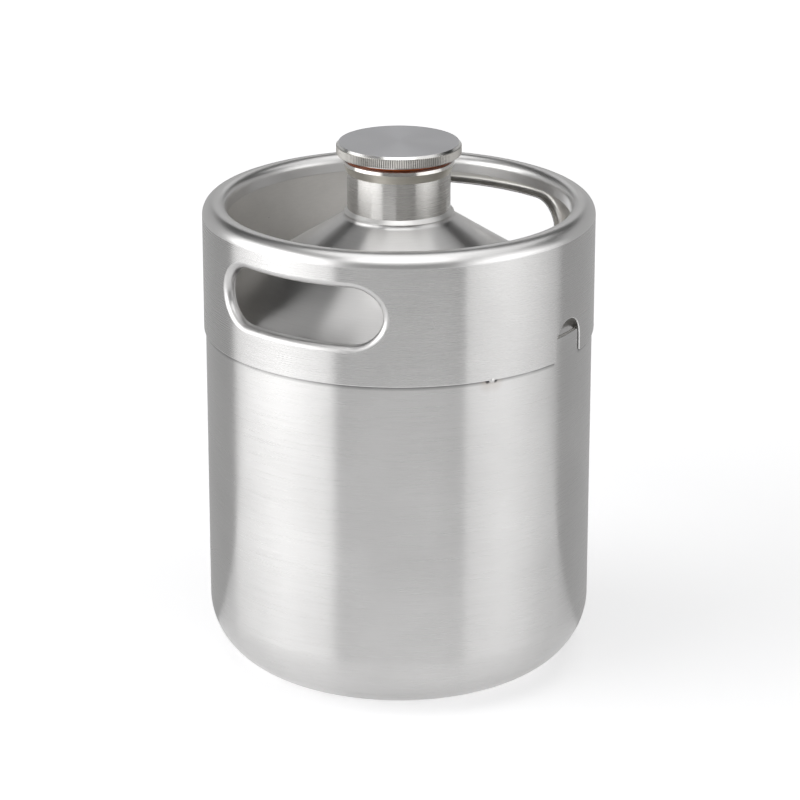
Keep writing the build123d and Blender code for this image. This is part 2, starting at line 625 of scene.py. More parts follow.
def start_group(
    kind: str, name: str, takes: dict[str, object], gives: dict[str, Socket]
) -> tuple[Graph, dict[str, bpy.types.NodeSocket], bpy.types.Node]:
    """Start a node group.

    Args:
        kind: Type of its tree.
        name: The group's name.
        takes: Inputs with their default numbers, or with their kind where they have no default.
        gives: Outputs with their kinds.

    Returns:
        The group's graph, its input sockets by name, and its output node.
    """
    tree = bpy.data.node_groups.new(name, kind)
    for label, default in takes.items():
        if isinstance(default, Socket):
            tree.interface.new_socket(label, in_out="INPUT", socket_type=default.value)
        else:
            needed = Socket.COUNT if isinstance(default, int) else Socket.VALUE
            socket = tree.interface.new_socket(label, in_out="INPUT", socket_type=needed.value)
            socket.default_value = default
    for label, given in gives.items():
        tree.interface.new_socket(label, in_out="OUTPUT", socket_type=given.value)
    graph = Graph(tree)
    entry, leave = graph.add("NodeGroupInput"), graph.add("NodeGroupOutput")
    return graph, {label: entry.outputs[label] for label in takes}, leave


def start_material(name: str) -> tuple[bpy.types.Material, Graph, bpy.types.Node]:
    """Start a material.

    Args:
        name: The material's name.

    Returns:
        The material, its graph and its Principled shader.
    """
    material = bpy.data.materials.new(name)
    material.use_nodes = True
    return material, Graph(material.node_tree), material.node_tree.nodes["Principled BSDF"]


PATCH_LIMITS = (0.78, 0.45)  # noise over which a patch is scratched, at density 0 and at 1
SPECK_LIMITS = (1.0, 0.72)  # random number over which a cell has a speck, at density 0 and at 1
LINE_FADE = (0.1, 1.0)  # depths in the joint's painted shade line where it begins and ends to fade, as shares
LINE_START = (-0.4, -0.1)  # the same where it begins, above the joint
PIT_FADE = (0.6, 1.15)  # distances from the middle of a pit's painted shade, in pit sizes
TINT_FADE = (0.8, 4.0)
LINE_PATCHES = (0.3, 0.6, 0.6, 1.0)  # noise from and to, and the share of the line that it leaves
TINT_PATCHES = (0.35, 0.6, 0.5, 1.0)


def brushed_grain_group() -> bpy.types.NodeTree:
    """Build the group that draws fine lines round the keg's axis.

    Its lines are long round the axis and thin along the surface. Radial Share turns the lines of a
    flat or sloping face with its distance from the axis. Grain holds the lines and Cloud a slow
    change of tone, both from 0 to 1.

    Returns:
        The group.
    """
    graph, given, leave = start_group("ShaderNodeTree", "brushed_grain", {
        "Vector": Socket.VECTOR, "Streak": 0.012, "Line": 0.0003, "Radial Share": 0.0, "Cloud Scale": 28.0,
    }, {"Grain": Socket.VALUE, "Cloud": Socket.VALUE})
    x, y, z = graph.parts(given["Vector"])
    climb = graph.math("ADD", z, graph.math("MULTIPLY", graph.length(x, y), given["Radial Share"]))
    vector = graph.vector(
        graph.math("DIVIDE", x, given["Streak"]),
        graph.math("DIVIDE", y, given["Streak"]),
        graph.math("DIVIDE", climb, given["Line"]),
    )
    grain = graph.add("ShaderNodeTexNoise", {
        "Vector": vector, "Scale": 1.0, "Detail": 4.0, "Roughness": 0.65,
    })
    cloud = graph.add("ShaderNodeTexNoise", {
        "Vector": given["Vector"], "Scale": given["Cloud Scale"], "Detail": 3.0, "Roughness": 0.55,
    })
    graph.join(grain.outputs["Fac"], leave.inputs["Grain"])
    graph.join(cloud.outputs["Fac"], leave.inputs["Cloud"])
    return graph.tree


def handling_marks_group() -> bpy.types.NodeTree:
    """Build the group that scatters short scratches and small specks.

    Density 0 gives none and 1 many. Crack Scale and Crack Width set how long and wide the scratches
    are, Bend Scale and Bend how crooked, and Patch Scale the size of the patches that have them. Cell
    Scale sets the distance between specks. Scratch and Speck are masks from 0 to 1.

    Returns:
        The group.
    """
    graph, given, leave = start_group("ShaderNodeTree", "handling_marks", {
        "Vector": Socket.VECTOR, "Density": 0.3, "Speck Size": 0.0004, "Crack Scale": 160.0,
        "Crack Width": 0.018, "Patch Scale": 55.0, "Cell Scale": 420.0, "Bend Scale": 90.0, "Bend": 0.02,
    }, {"Scratch": Socket.VALUE, "Speck": Socket.VALUE})
    place = given["Vector"]
    warped = graph.add("ShaderNodeTexNoise", {"Vector": place, "Scale": given["Bend Scale"], "Detail": 1.0})
    offset = graph.scaled(warped.outputs["Color"], given["Bend"])
    bent = graph.add("ShaderNodeVectorMath", {0: place, 1: offset}, operation="ADD").outputs[0]
    cracks = graph.add(
        "ShaderNodeTexVoronoi", {"Vector": bent, "Scale": given["Crack Scale"]}, feature="DISTANCE_TO_EDGE"
    )
    line = graph.spread(cracks.outputs["Distance"], 0.0, given["Crack Width"], 1.0, 0.0)
    patches = graph.noise(place, given["Patch Scale"], 2.0)
    threshold = graph.spread(given["Density"], 0.0, 1.0, *PATCH_LIMITS)
    chosen = graph.math("GREATER_THAN", patches, threshold)
    cells = graph.add("ShaderNodeTexVoronoi", {"Vector": place, "Scale": given["Cell Scale"]})
    speck_radius = graph.math("MULTIPLY", given["Speck Size"], given["Cell Scale"])
    near = graph.math("LESS_THAN", cells.outputs["Distance"], speck_radius)
    rarity = graph.spread(given["Density"], 0.0, 1.0, *SPECK_LIMITS)
    few = graph.math("GREATER_THAN", cells.outputs["Color"], rarity)
    graph.join(graph.math("MULTIPLY", line, chosen), leave.inputs["Scratch"])
    graph.join(graph.math("MULTIPLY", near, few), leave.inputs["Speck"])
    return graph.tree


def joint_shade_group() -> bpy.types.NodeTree:
    """Build the group that paints shade under the collar's joint and in the pits beside its tacks.

    Height is the joint's height and Depth how far its painted shade reaches below it. The shade stops
    within Gap of the XZ plane, where the drain notches are. Tack Angle is the place of one of four tacks
    that mirror each other, from the X axis in radians, and Radius its distance from the keg's axis. Line
    is the painted shade under the collar's edge, Pit the painted shade of the pits beside the tacks and
    Tint a heat tint round them, all masks from 0 to 1.

    Returns:
        The group.
    """
    graph, given, leave = start_group("ShaderNodeTree", "joint_shade", {
        "Vector": Socket.VECTOR, "Height": 0.12, "Depth": 0.0006, "Gap": 0.008, "Radius": 0.067,
        "Tack Angle": 0.54, "Pit Offset": 0.0016, "Pit Length": 0.0007, "Pit Height": 0.0005,
        "Patch Scale": 60.0,
    }, {"Line": Socket.VALUE, "Pit": Socket.VALUE, "Tint": Socket.VALUE})
    folded = graph.add("ShaderNodeVectorMath", {0: given["Vector"]}, operation="ABSOLUTE").outputs[0]
    x, y, z = graph.parts(folded)
    below = graph.math("SUBTRACT", given["Height"], z)
    ratio = graph.math("DIVIDE", below, given["Depth"])
    patchy = graph.noise(given["Vector"], given["Patch Scale"], 3.0)
    # painted shade just under the collar's edge, patchy and fading downwards
    line = graph.spread(ratio, *LINE_FADE, 1.0, 0.0)
    for mask in (
        graph.spread(patchy, *LINE_PATCHES),
        graph.spread(ratio, *LINE_START, 0.0, 1.0),
        graph.math("GREATER_THAN", y, given["Gap"]),
    ):
        line = graph.math("MULTIPLY", line, mask)
    turn = graph.math("SUBTRACT", graph.math("ARCTAN2", y, x), given["Tack Angle"])
    along = graph.math("ABSOLUTE", graph.math("MULTIPLY", turn, given["Radius"]))
    across = graph.math("DIVIDE", graph.math("SUBTRACT", along, given["Pit Offset"]), given["Pit Length"])
    upward = graph.math("DIVIDE", below, given["Pit Height"])
    away = graph.length(across, upward)
    halo = graph.spread(away, *TINT_FADE, 1.0, 0.0)
    tint = graph.math("MULTIPLY", halo, graph.spread(patchy, *TINT_PATCHES))
    # painted shade of the pits beside the tacks
    pit = graph.spread(away, *PIT_FADE, 1.0, 0.0)
    for label, value in (("Line", line), ("Pit", pit), ("Tint", tint)):
        graph.join(value, leave.inputs[label])
    return graph.tree


GRAIN = brushed_grain_group()
MARKS = handling_marks_group()
JOINT = joint_shade_group()
JOINT_PAINTED_SHADE_AND_TINT = (  # each mask, how much of it shows, and its colour: painted shade for Line and Pit, heat tint for Tint
    ("Line", 0.8, (0.10, 0.10, 0.10, 1)),
    ("Tint", 0.35, (0.30, 0.24, 0.18, 1)),
    ("Pit", 0.9, (0.03, 0.03, 0.035, 1)),
)
FLUTE_EDGE = 0.6  # where the wave of the flutes is a full groove or a full ridge
FLUTE_PAINTED_SHADE_AND_HIGHLIGHT = (0.6, 1.05)  # brightness factors: painted shade in a groove and a slight painted highlight on a ridge
GRAIN_TURN = 0.25  # turns the wide side of a reflection across the lines


class Lay(Enum):
    """Which way the lines of a worked surface run."""

    ROUND = "round the axis"
    NONE = "without a direction"


@dataclass(frozen=True)
class Steel:
    """A finish of stainless steel. Lengths are in millimetres."""

    name: str
    tone: tuple[float, float, float]
    roughness: float
    stretch: float = 0.9  # how much wider a reflection is across the lines than along them
    streak: float = 12.0
    line: float = 0.3
    radial_share: float = 0.0
    contrast: float = 0.08
    roughness_spread: float = 0.06
    relief: float = 0.002
    cloud: float = 0.05
    marks: float = 0.15
    speck: float = 0.25
    mark_depth: float = 0.35
    joint_shade_depth: float = 0.0  # reach of the painted shade below the collar's joint
    flutes: int = 0  # upright grooves round the keg's axis, given painted shade, with a slight painted highlight on the ridges
    lay: Lay = Lay.ROUND

    def material(self) -> bpy.types.Material:
        """Build the finish.

        Returns:
            The material.
        """
        material, graph, shader = start_material(self.name)
        place = graph.add("ShaderNodeTexCoord").outputs["Object"]
        grain = graph.add("ShaderNodeGroup", {
            "Vector": place, "Streak": self.streak * MM, "Line": self.line * MM,
            "Radial Share": self.radial_share,
        }, node_tree=GRAIN).outputs
        marks = graph.add("ShaderNodeGroup", {
            "Vector": place, "Density": self.marks, "Speck Size": self.speck * MM,
        }, node_tree=MARKS).outputs
        tone = graph.math(
            "ADD",
            graph.spread(grain["Grain"], *NOISE_RANGE, 1 - self.contrast, 1 + self.contrast),
            graph.spread(grain["Cloud"], *NOISE_RANGE, -self.cloud, self.cloud),
        )
        worn = graph.math("SUBTRACT", tone, graph.math("MULTIPLY", marks["Speck"], self.mark_depth))
        colour = graph.scaled(self.tone, worn)
        # painted shade under the collar's joint and beside the tacks, with heat tint
        if self.joint_shade_depth:
            colour = self.painted_joint_shade(graph, place, colour)
        # painted shade in the knurl's grooves and painted highlight on its ridges
        if self.flutes:
            colour = self.painted_flute_shade(graph, place, colour)
        graph.join(colour, shader.inputs["Base Color"])
        low, high = self.roughness - self.roughness_spread, self.roughness + self.roughness_spread
        rough = graph.spread(grain["Grain"], *NOISE_RANGE, low, high)
        scratched = graph.math("MULTIPLY", marks["Scratch"], SCRATCH_ROUGHNESS)
        graph.join(graph.math("ADD", rough, scratched), shader.inputs["Roughness"])
        cuts = graph.math("MULTIPLY", marks["Scratch"], self.mark_depth)
        height = graph.math("SUBTRACT", grain["Grain"], cuts)
        graph.join(graph.bump(height, 1.0, self.relief * MM), shader.inputs["Normal"])
        shader.inputs["Metallic"].default_value = 1.0
        if self.lay is Lay.ROUND:
            shader.inputs["Anisotropic"].default_value = self.stretch
            shader.inputs["Anisotropic Rotation"].default_value = GRAIN_TURN
            tangent = graph.add("ShaderNodeTangent", direction_type="RADIAL", axis="Z")
            graph.join(tangent.outputs[0], shader.inputs["Tangent"])
        return material

    def painted_flute_shade(
        self, graph: Graph, place: bpy.types.NodeSocket, colour: bpy.types.NodeSocket
    ) -> bpy.types.NodeSocket:
        """Paint shade in the grooves between ridges that start at the X axis, and highlight on the ridges.

        Args:
            graph: The material's graph.
            place: The object's coordinates.
            colour: The colour.

        Returns:
            The colour with its painted shade and highlight.
        """
        x, y, _ = graph.parts(place)
        wave = graph.math("COSINE", graph.math("MULTIPLY", graph.math("ARCTAN2", y, x), float(self.flutes)))
        return graph.scaled(colour, graph.spread(wave, -FLUTE_EDGE, FLUTE_EDGE, *FLUTE_PAINTED_SHADE_AND_HIGHLIGHT))

    def painted_joint_shade(
        self, graph: Graph, place: bpy.types.NodeSocket, colour: bpy.types.NodeSocket
    ) -> bpy.types.NodeSocket:
        """Paint shade along the collar's joint and in the pits beside the tack welds, and heat tint round
        them.

        Args:
            graph: The material's graph.
            place: The object's coordinates.
            colour: The colour.

        Returns:
            The shaded colour.
        """
        collar = Collar()
        masks = graph.add("ShaderNodeGroup", {
            "Vector": place,
            "Height": collar.edge * MM,
            "Depth": self.joint_shade_depth * MM,
            "Gap": collar.notch_width / 2 * MM,
            "Radius": collar.radius * MM,
            "Tack Angle": math.radians(Tacks.angle),
            "Pit Offset": Tacks.pit_offset * MM,
            "Pit Length": Tacks.pit_length * MM,
            "Pit Height": Tacks.pit_height * MM,
        }, node_tree=JOINT).outputs
        for mask, share, shade in JOINT_PAINTED_SHADE_AND_TINT:
            colour = graph.blend(graph.math("MULTIPLY", masks[mask], share), colour, shade)
        return colour


@dataclass(frozen=True)
class Silicone:
    """The seal's moulded silicone. Lengths are in millimetres."""

    name: str = "seal_silicone"
    tone: tuple[float, float, float] = (0.66, 0.15, 0.04)
    dusty_tone: tuple[float, float, float] = (0.74, 0.24, 0.09)
    dust: float = 0.6
    mottle_scale: float = 900.0
    roughness: tuple[float, float] = (0.29, 0.42)
    relief: float = 0.01
    relief_share: float = 0.4
    glow_weight: float = 0.1  # light that enters the silicone and leaves it again
    glow_radius: tuple[float, float, float] = (1.0, 0.3, 0.1)
    glow_reach: float = 0.5

    def material(self) -> bpy.types.Material:
        """Build the silicone.

        Returns:
            The material.
        """
        material, graph, shader = start_material(self.name)
        mottle = graph.noise(graph.add("ShaderNodeTexCoord").outputs["Object"], self.mottle_scale, 3.0)
        shade = graph.spread(mottle, 0.4, 0.75, 0.0, self.dust)
        graph.join(graph.blend(shade, (*self.tone, 1), (*self.dusty_tone, 1)), shader.inputs["Base Color"])
        graph.join(graph.spread(mottle, *NOISE_RANGE, *self.roughness), shader.inputs["Roughness"])
        graph.join(graph.bump(mottle, self.relief_share, self.relief * MM), shader.inputs["Normal"])
        shader.inputs["Subsurface Weight"].default_value = self.glow_weight
        shader.inputs["Subsurface Radius"].default_value = self.glow_radius
        shader.inputs["Subsurface Scale"].default_value = self.glow_reach * MM
        return material


# The body's finish holds the painted shade under the collar's joint.
BRUSHED_BODY = Steel(
    "brushed_body_steel", (0.56, 0.555, 0.55), 0.29, stretch=1.0, radial_share=1.3, streak=30.0, line=0.22,
    contrast=0.05, roughness_spread=0.03, relief=0.0006, joint_shade_depth=1.5,
)
BRUSHED_COLLAR = Steel(
    "brushed_collar_steel", (0.53, 0.525, 0.52), 0.27, stretch=1.0, radial_share=1.3, streak=30.0,
    line=0.22, contrast=0.05, roughness_spread=0.03, relief=0.0006, marks=0.15,
)
ROLLED_RIM = Steel(
    "rolled_rim_steel", (0.61, 0.605, 0.60), 0.33, stretch=0.4, radial_share=-1.3, line=0.3, streak=40.0,
    contrast=0.02, roughness_spread=0.01, relief=0.0001, marks=0.06, cloud=0.04,
)
DRAWN_EDGE = Steel(
    "drawn_edge_steel", (0.55, 0.545, 0.54), 0.40, lay=Lay.NONE, line=1.5, streak=6.0, contrast=0.03,
    roughness_spread=0.04, relief=0.0002, marks=0.05, cloud=0.04,
)
# Lighter than the collar's sheet: a painted highlight along the cut edges of the collar's foot and notches.
CUT_EDGE = Steel(
    "cut_edge_highlight_steel", (0.74, 0.735, 0.73), 0.36, lay=Lay.NONE, line=0.5, streak=4.0, contrast=0.03,
    roughness_spread=0.04, relief=0.0002, marks=0.0, cloud=0.03,
)
MILL_SHEET = Steel(
    "mill_sheet_steel", (0.72, 0.705, 0.68), 0.42, lay=Lay.NONE, line=0.9, streak=3.0, contrast=0.03,
    relief=0.0005, cloud=0.07, marks=0.5, speck=0.22, mark_depth=0.4, radial_share=-1.0,
)
SPUN_SHOULDER = Steel(
    "spun_shoulder_steel", (0.57, 0.565, 0.56), 0.31, stretch=0.95, radial_share=-1.3, line=0.22,
    contrast=0.05, roughness_spread=0.03, relief=0.0012,
)
TURNED_NECK = Steel(
    "turned_neck_steel", (0.60, 0.59, 0.575), 0.27, stretch=1.0, radial_share=-1.2, line=0.25, streak=60.0,
    contrast=0.04, roughness_spread=0.01, relief=0.00005, marks=0.02, cloud=0.03,
)
POLISHED_LIP = Steel(
    "polished_lip_steel", (0.60, 0.585, 0.56), 0.22, stretch=0.8, radial_share=-1.2, line=0.12, streak=40.0,
    contrast=0.03, roughness_spread=0.02, relief=0.0001, marks=0.03, cloud=0.02,
)
LIP_TAPER = Steel(
    "lip_taper_steel", (0.72, 0.69, 0.62), 0.42, lay=Lay.NONE, line=0.3, streak=30.0, contrast=0.03,
    roughness_spread=0.02, relief=0.0001, marks=0.03, cloud=0.02,
)
TURNED_CAP = Steel(
    "turned_cap_steel", (0.52, 0.52, 0.535), 0.42, stretch=0.6, radial_share=1.0, line=0.12, streak=60.0,
    contrast=0.04, roughness_spread=0.03, relief=0.0002, marks=0.05, cloud=0.02,
)
CAP_CHAMFER = Steel(
    "cap_chamfer_steel", (0.66, 0.655, 0.64), 0.20, lay=Lay.NONE, line=0.2, streak=20.0, contrast=0.02,
    roughness_spread=0.02, relief=0.0002, marks=0.0, cloud=0.02,
)
KNURLED_BAND = Steel(
    "knurled_band_steel", (0.50, 0.485, 0.46), 0.31, lay=Lay.NONE, line=0.5, streak=3.0, contrast=0.08,
    relief=0.002, marks=0.05,
)
NECK_WELD = Steel(
    "dressed_weld_steel", (0.62, 0.615, 0.605), 0.38, stretch=0.5, radial_share=-1.3, line=0.6, streak=9.0,
    contrast=0.05, relief=0.001, marks=0.1,
)
WELD_METAL = Steel(
    "weld_steel", (0.44, 0.43, 0.41), 0.36, lay=Lay.NONE, line=0.8, streak=0.8, contrast=0.1,
    relief=0.006, cloud=0.1,
)


# ---------------------------------------------------------------------------------------------
# Geometry Nodes
# ---------------------------------------------------------------------------------------------


def start_rule(
    name: str, sizes: dict[str, float]
) -> tuple[Graph, dict[str, bpy.types.NodeSocket], bpy.types.Node]:
    """Start a Geometry Nodes tree whose inputs are named sizes and a material.

    Args:
        name: The tree's name.
        sizes: Sizes with their defaults.

    Returns:
        The tree's graph, its input sockets by name, and its output node.
    """
    takes = {"Geometry": Socket.GEOMETRY, **sizes, "Material": Socket.MATERIAL}
    return start_group("GeometryNodeTree", name, takes, {"Geometry": Socket.GEOMETRY})


def end_rule(
    graph: Graph, geometry: bpy.types.NodeSocket, material: bpy.types.NodeSocket, leave: bpy.types.Node
) -> bpy.types.GeometryNodeTree:
    """End a Geometry Nodes tree in Realize Instances and Set Material.

    Args:
        graph: The tree's graph.
        geometry: What the tree has made.
        material: The tree's material input.
        leave: The tree's output node.

    Returns:
        The tree.
    """
    real = graph.add("GeometryNodeRealizeInstances", {"Geometry": geometry})
    dressed = graph.add("GeometryNodeSetMaterial", {"Geometry": real.outputs[0], "Material": material})
    graph.join(dressed.outputs[0], leave.inputs["Geometry"])
    return graph.tree


def ring_of_copies(
    graph: Graph, given: dict[str, bpy.types.NodeSocket], copy: dict[str, bpy.types.NodeSocket]
) -> bpy.types.NodeSocket:
    """Set copies of a piece side by side round a ring, each turned outwards.

    Args:
        graph: The tree's graph.
        given: The tree's inputs, with Count, Ring Radius and Middle Height among them.
        copy: The piece as Instance, and its Scale where it isn't the same all round.

    Returns:
        The copies.
    """
    ring = graph.add("GeometryNodeMeshCircle", {"Vertices": given["Count"], "Radius": given["Ring Radius"]})
    lifted = graph.add("GeometryNodeTransform", {
        "Geometry": ring.outputs[0], "Translation": graph.vector(z=given["Middle Height"]),
    })
    outward = graph.add("FunctionNodeAlignRotationToVector", {
        "Vector": graph.add("GeometryNodeInputPosition").outputs[0],
    }, axis="X", pivot_axis="Z")
    return graph.add("GeometryNodeInstanceOnPoints", {
        "Points": lifted.outputs[0], "Rotation": outward.outputs[0], **copy,
    }).outputs[0]


def grown(name: str, tree: bpy.types.GeometryNodeTree, sizes: dict[str, object]) -> bpy.types.Object:
    """Run a tree once and keep its result as a plain mesh.

    Args:
        name: Name of the piece.
        tree: The Geometry Nodes tree.
        sizes: Values of its inputs by name.

    Returns:
        The finished object, at the origin.
    """
    seed = placed(name + "_seed", bpy.data.meshes.new(name + "_seed"))
    modifier = seed.modifiers.new("rule", "NODES")
    modifier.node_group = tree
    for socket in tree.interface.items_tree:
        if socket.in_out == "INPUT" and socket.name in sizes:
            modifier[socket.identifier] = sizes[socket.name]
    bpy.context.view_layer.update()
    depsgraph = bpy.context.evaluated_depsgraph_get()
    mesh = bpy.data.meshes.new_from_object(seed.evaluated_get(depsgraph), depsgraph=depsgraph)
    seed.modifiers.remove(modifier)
    bpy.data.objects.remove(seed)
    work = bmesh.new()
    work.from_mesh(mesh)
    bmesh.ops.recalc_face_normals(work, faces=work.faces)
    work.to_mesh(mesh)
    work.free()
    mesh.name = name
    return placed(name, mesh)


def knurl_tree() -> bpy.types.GeometryNodeTree:
    """Build the rule of a straight knurl: upright ridges side by side round a band.

    Returns:
        The tree.
    """
    graph, given, leave = start_rule("straight_knurl", {
        "Count": 200, "Ring Radius": 0.02, "Ridge Height": 0.002, "Ridge Width": 0.0006,
        "Ridge Depth": 0.0002, "Middle Height": 0.0,
    })
    ridge = graph.add(
        "GeometryNodeMeshCylinder", {"Vertices": 6, "Side Segments": 1, "Radius": 1.0, "Depth": 1.0}
    )
    half_width = graph.math("MULTIPLY", given["Ridge Width"], 0.5)
    shaped = graph.add("GeometryNodeTransform", {
        "Geometry": ridge.outputs[0],
        "Scale": graph.vector(given["Ridge Depth"], half_width, given["Ridge Height"]),
    })
    copies = ring_of_copies(graph, given, {"Instance": shaped.outputs[0]})
    return end_rule(graph, copies, given["Material"], leave)


def thread_tree() -> bpy.types.GeometryNodeTree:
    """Build the rule of a thread's ridge: a tapered section along a helix, closed at both ends.

    Returns:
        The tree.
    """
    graph, given, leave = start_rule("thread_ridge", {
        "Turns": 3.0, "Pitch": 0.003, "Middle Radius": 0.014, "Depth": 0.001, "Inner Width": 0.0019,
        "Outer Width": 0.0009, "Start Height": 0.0, "Start Turn": 0.0,
    })
    climb = graph.math("MULTIPLY", given["Turns"], given["Pitch"])
    spiral = graph.add("GeometryNodeCurveSpiral", {
        "Resolution": 96, "Rotations": given["Turns"], "Start Radius": given["Middle Radius"],
        "End Radius": given["Middle Radius"], "Height": climb,
    })
    moved = graph.add("GeometryNodeTransform", {
        "Geometry": spiral.outputs[0],
        "Translation": graph.vector(z=given["Start Height"]),
        "Rotation": graph.vector(z=graph.math("MULTIPLY", given["Start Turn"], 2 * math.pi)),
    })
    upright = graph.add("GeometryNodeSetCurveNormal", {"Curve": moved.outputs[0]}, mode="Z_UP")
    section = graph.add("GeometryNodeCurvePrimitiveQuadrilateral", {
        "Height": given["Depth"], "Bottom Width": given["Inner Width"], "Top Width": given["Outer Width"],
        "Offset": 0.0,
    }, mode="TRAPEZOID")
    turned = graph.add("GeometryNodeTransform", {
        "Geometry": section.outputs[0], "Rotation": (0.0, 0.0, -math.pi / 2),
    })
    ridge = graph.add("GeometryNodeCurveToMesh", {
        "Curve": upright.outputs[0], "Profile Curve": turned.outputs[0], "Fill Caps": True,
    })
    return end_rule(graph, ridge.outputs[0], given["Material"], leave)


def ripple_tree() -> bpy.types.GeometryNodeTree:
    """Build the rule of a weld bead: overlapping drops of metal round a seam.

    Returns:
        The tree.
    """
    graph, given, leave = start_rule("weld_ripples", {
        "Count": 300, "Ring Radius": 0.066, "Drop Length": 0.002, "Drop Width": 0.001,
        "Drop Height": 0.0005, "Middle Height": 0.0, "Unevenness": 0.1, "Seed": 7,
    })
    drop = graph.add("GeometryNodeMeshUVSphere", {"Segments": 8, "Rings": 5, "Radius": 0.5})
    shaped = graph.add("GeometryNodeTransform", {
        "Geometry": drop.outputs[0],
        "Scale": graph.vector(given["Drop Width"], given["Drop Length"], given["Drop Height"]),
    })
    uneven = graph.add("FunctionNodeRandomValue", {
        2: graph.math("SUBTRACT", 1.0, given["Unevenness"]),
        3: graph.math("ADD", 1.0, given["Unevenness"]),
        "Seed": given["Seed"],
    }, data_type="FLOAT")
    copies = ring_of_copies(graph, given, {"Instance": shaped.outputs[0], "Scale": uneven.outputs[1]})
    return end_rule(graph, copies, given["Material"], leave)


# ---------------------------------------------------------------------------------------------
# The keg's pieces
# ---------------------------------------------------------------------------------------------


@dataclass
class Vessel:
    """Drawn cup and pressed shoulder, welded at the cup's top edge. Lengths are in millimetres."""

    sheet: float = 0.8
    base_corner: float = 22.7
    ring_width: float = 5.15
    panel_run: float = 5.0
    panel_rise: float = 2.6
    panel_bend: float = 4.0
    slope: float = 32.6  # of the cone, in degrees
    shoulder_bend: float = 3.0
    upturn_bend: float = 1.8
    upturn_straight: float = 0.3
    ripple_spacing: float = 1.3
    ripple_length: float = 2.6
    ripple_width: float = 0.95
    ripple_height: float = 1.0

    def __post_init__(self) -> None:
        """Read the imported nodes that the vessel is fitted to."""
        self.cup = Extent.of("body_cup")
        self.dome = Extent.of("shoulder_dome")

    def cup_section(self) -> Run:
        """Draw the cup's section: panel, foot ring, base corner and wall.

        Returns:
            The section.
        """
        ring = self.cup.radius - self.base_corner - self.ring_width
        face = Run.through([
            (0, self.panel_rise),
            (ring - self.panel_run, self.panel_rise, self.panel_bend),
            (ring, 0, self.panel_bend),
            (self.cup.radius, 0, self.base_corner),
            (self.cup.radius, self.cup.high),
        ], FINE_ARC_STEP)
        return sheet_section(face, self.sheet, FINE_EDGE, (False, True))

    def dome_section(self) -> Run:
        """Draw the shoulder's section: skirt, cone and upturned edge.

        Returns:
            The section.
        """
        turn = math.radians(90 - self.slope)
        upturn = Extent.of("neck_weld_bead").low
        cone_top = upturn - self.upturn_straight - self.upturn_bend * math.tan(turn / 2)
        corner = self.cup.high + self.shoulder_bend * math.tan(turn / 2)
        hole = self.dome.radius - (cone_top - corner) * math.tan(turn)
        face = Run.through([
            (self.dome.radius, self.dome.low),
            (self.dome.radius, corner, self.shoulder_bend),
            (hole, cone_top, self.upturn_bend),
            (hole, upturn),
        ])
        return sheet_section(face, self.sheet, FINE_EDGE, (True, True))

    def build(self) -> None:
        """Make the cup, the shoulder and the rippled seam weld."""
        for name, section, steel, slot in (
            ("body_cup_shell", self.cup_section(), BRUSHED_BODY, "vessel_steel"),
            ("shoulder_dome_shell", self.dome_section(), SPUN_SHOULDER, "shoulder_steel"),
        ):
            skin = Skin()
            skin.turn(section)
            adopt(skin.piece(name, [steel.material()]), "keg", slot, name.removesuffix("_shell"))
        around = 2 * math.pi * self.dome.radius
        weld = grown("shoulder_seam_bead", ripple_tree(), {
            "Count": round(around / self.ripple_spacing),
            "Ring Radius": self.dome.radius * MM,
            "Drop Length": self.ripple_length * MM,
            "Drop Width": self.ripple_width * MM,
            "Drop Height": self.ripple_height * MM,
            "Middle Height": self.cup.high * MM,
            "Material": WELD_METAL.material(),
        })
        adopt(weld, "keg", "weld_steel", "shoulder_seam_weld")


@dataclass(frozen=True)
class Thread:
    """The right-hand thread of neck and cap. Lengths are in millimetres."""

    pitch: float = 3.0
    depth: float = 0.9
    root: float = 1.9  # width at the wall
    crest: float = 0.86
    overlap: float = 0.1  # sunk into the wall

    def ridge(
        self, name: str, wall: float, side: int, turns: float, span: tuple[float, float],
        steel: bpy.types.Material,
    ) -> bpy.types.Object:
        """Make a thread's ridge on a wall.

        Args:
            name: Name of the piece.
            wall: The wall's radius.
            side: 1 where the ridge stands outwards and -1 where it stands inwards.
            turns: Turns of the ridge.
            span: Height where the ridge starts, and height where its helix crosses the X axis.
            steel: The ridge's material.

        Returns:
            The ridge.
        """
        inner, outer = (self.root, self.crest)[::side]
        start, crossing = span
        return grown(name, thread_tree(), {
            "Turns": turns,
            "Pitch": self.pitch * MM,
            "Middle Radius": (wall + side * (self.depth - self.overlap) / 2) * MM,
            "Depth": (self.depth + self.overlap) * MM,
            "Inner Width": inner * MM,
            "Outer Width": outer * MM,
            "Start Height": start * MM,
            "Start Turn": (start - crossing) / self.pitch,
            "Material": steel,
        })


class NeckFace(IntEnum):
    """Finishes of the neck."""

    TURNED = 0
    LIP = 1
    TAPER = 2


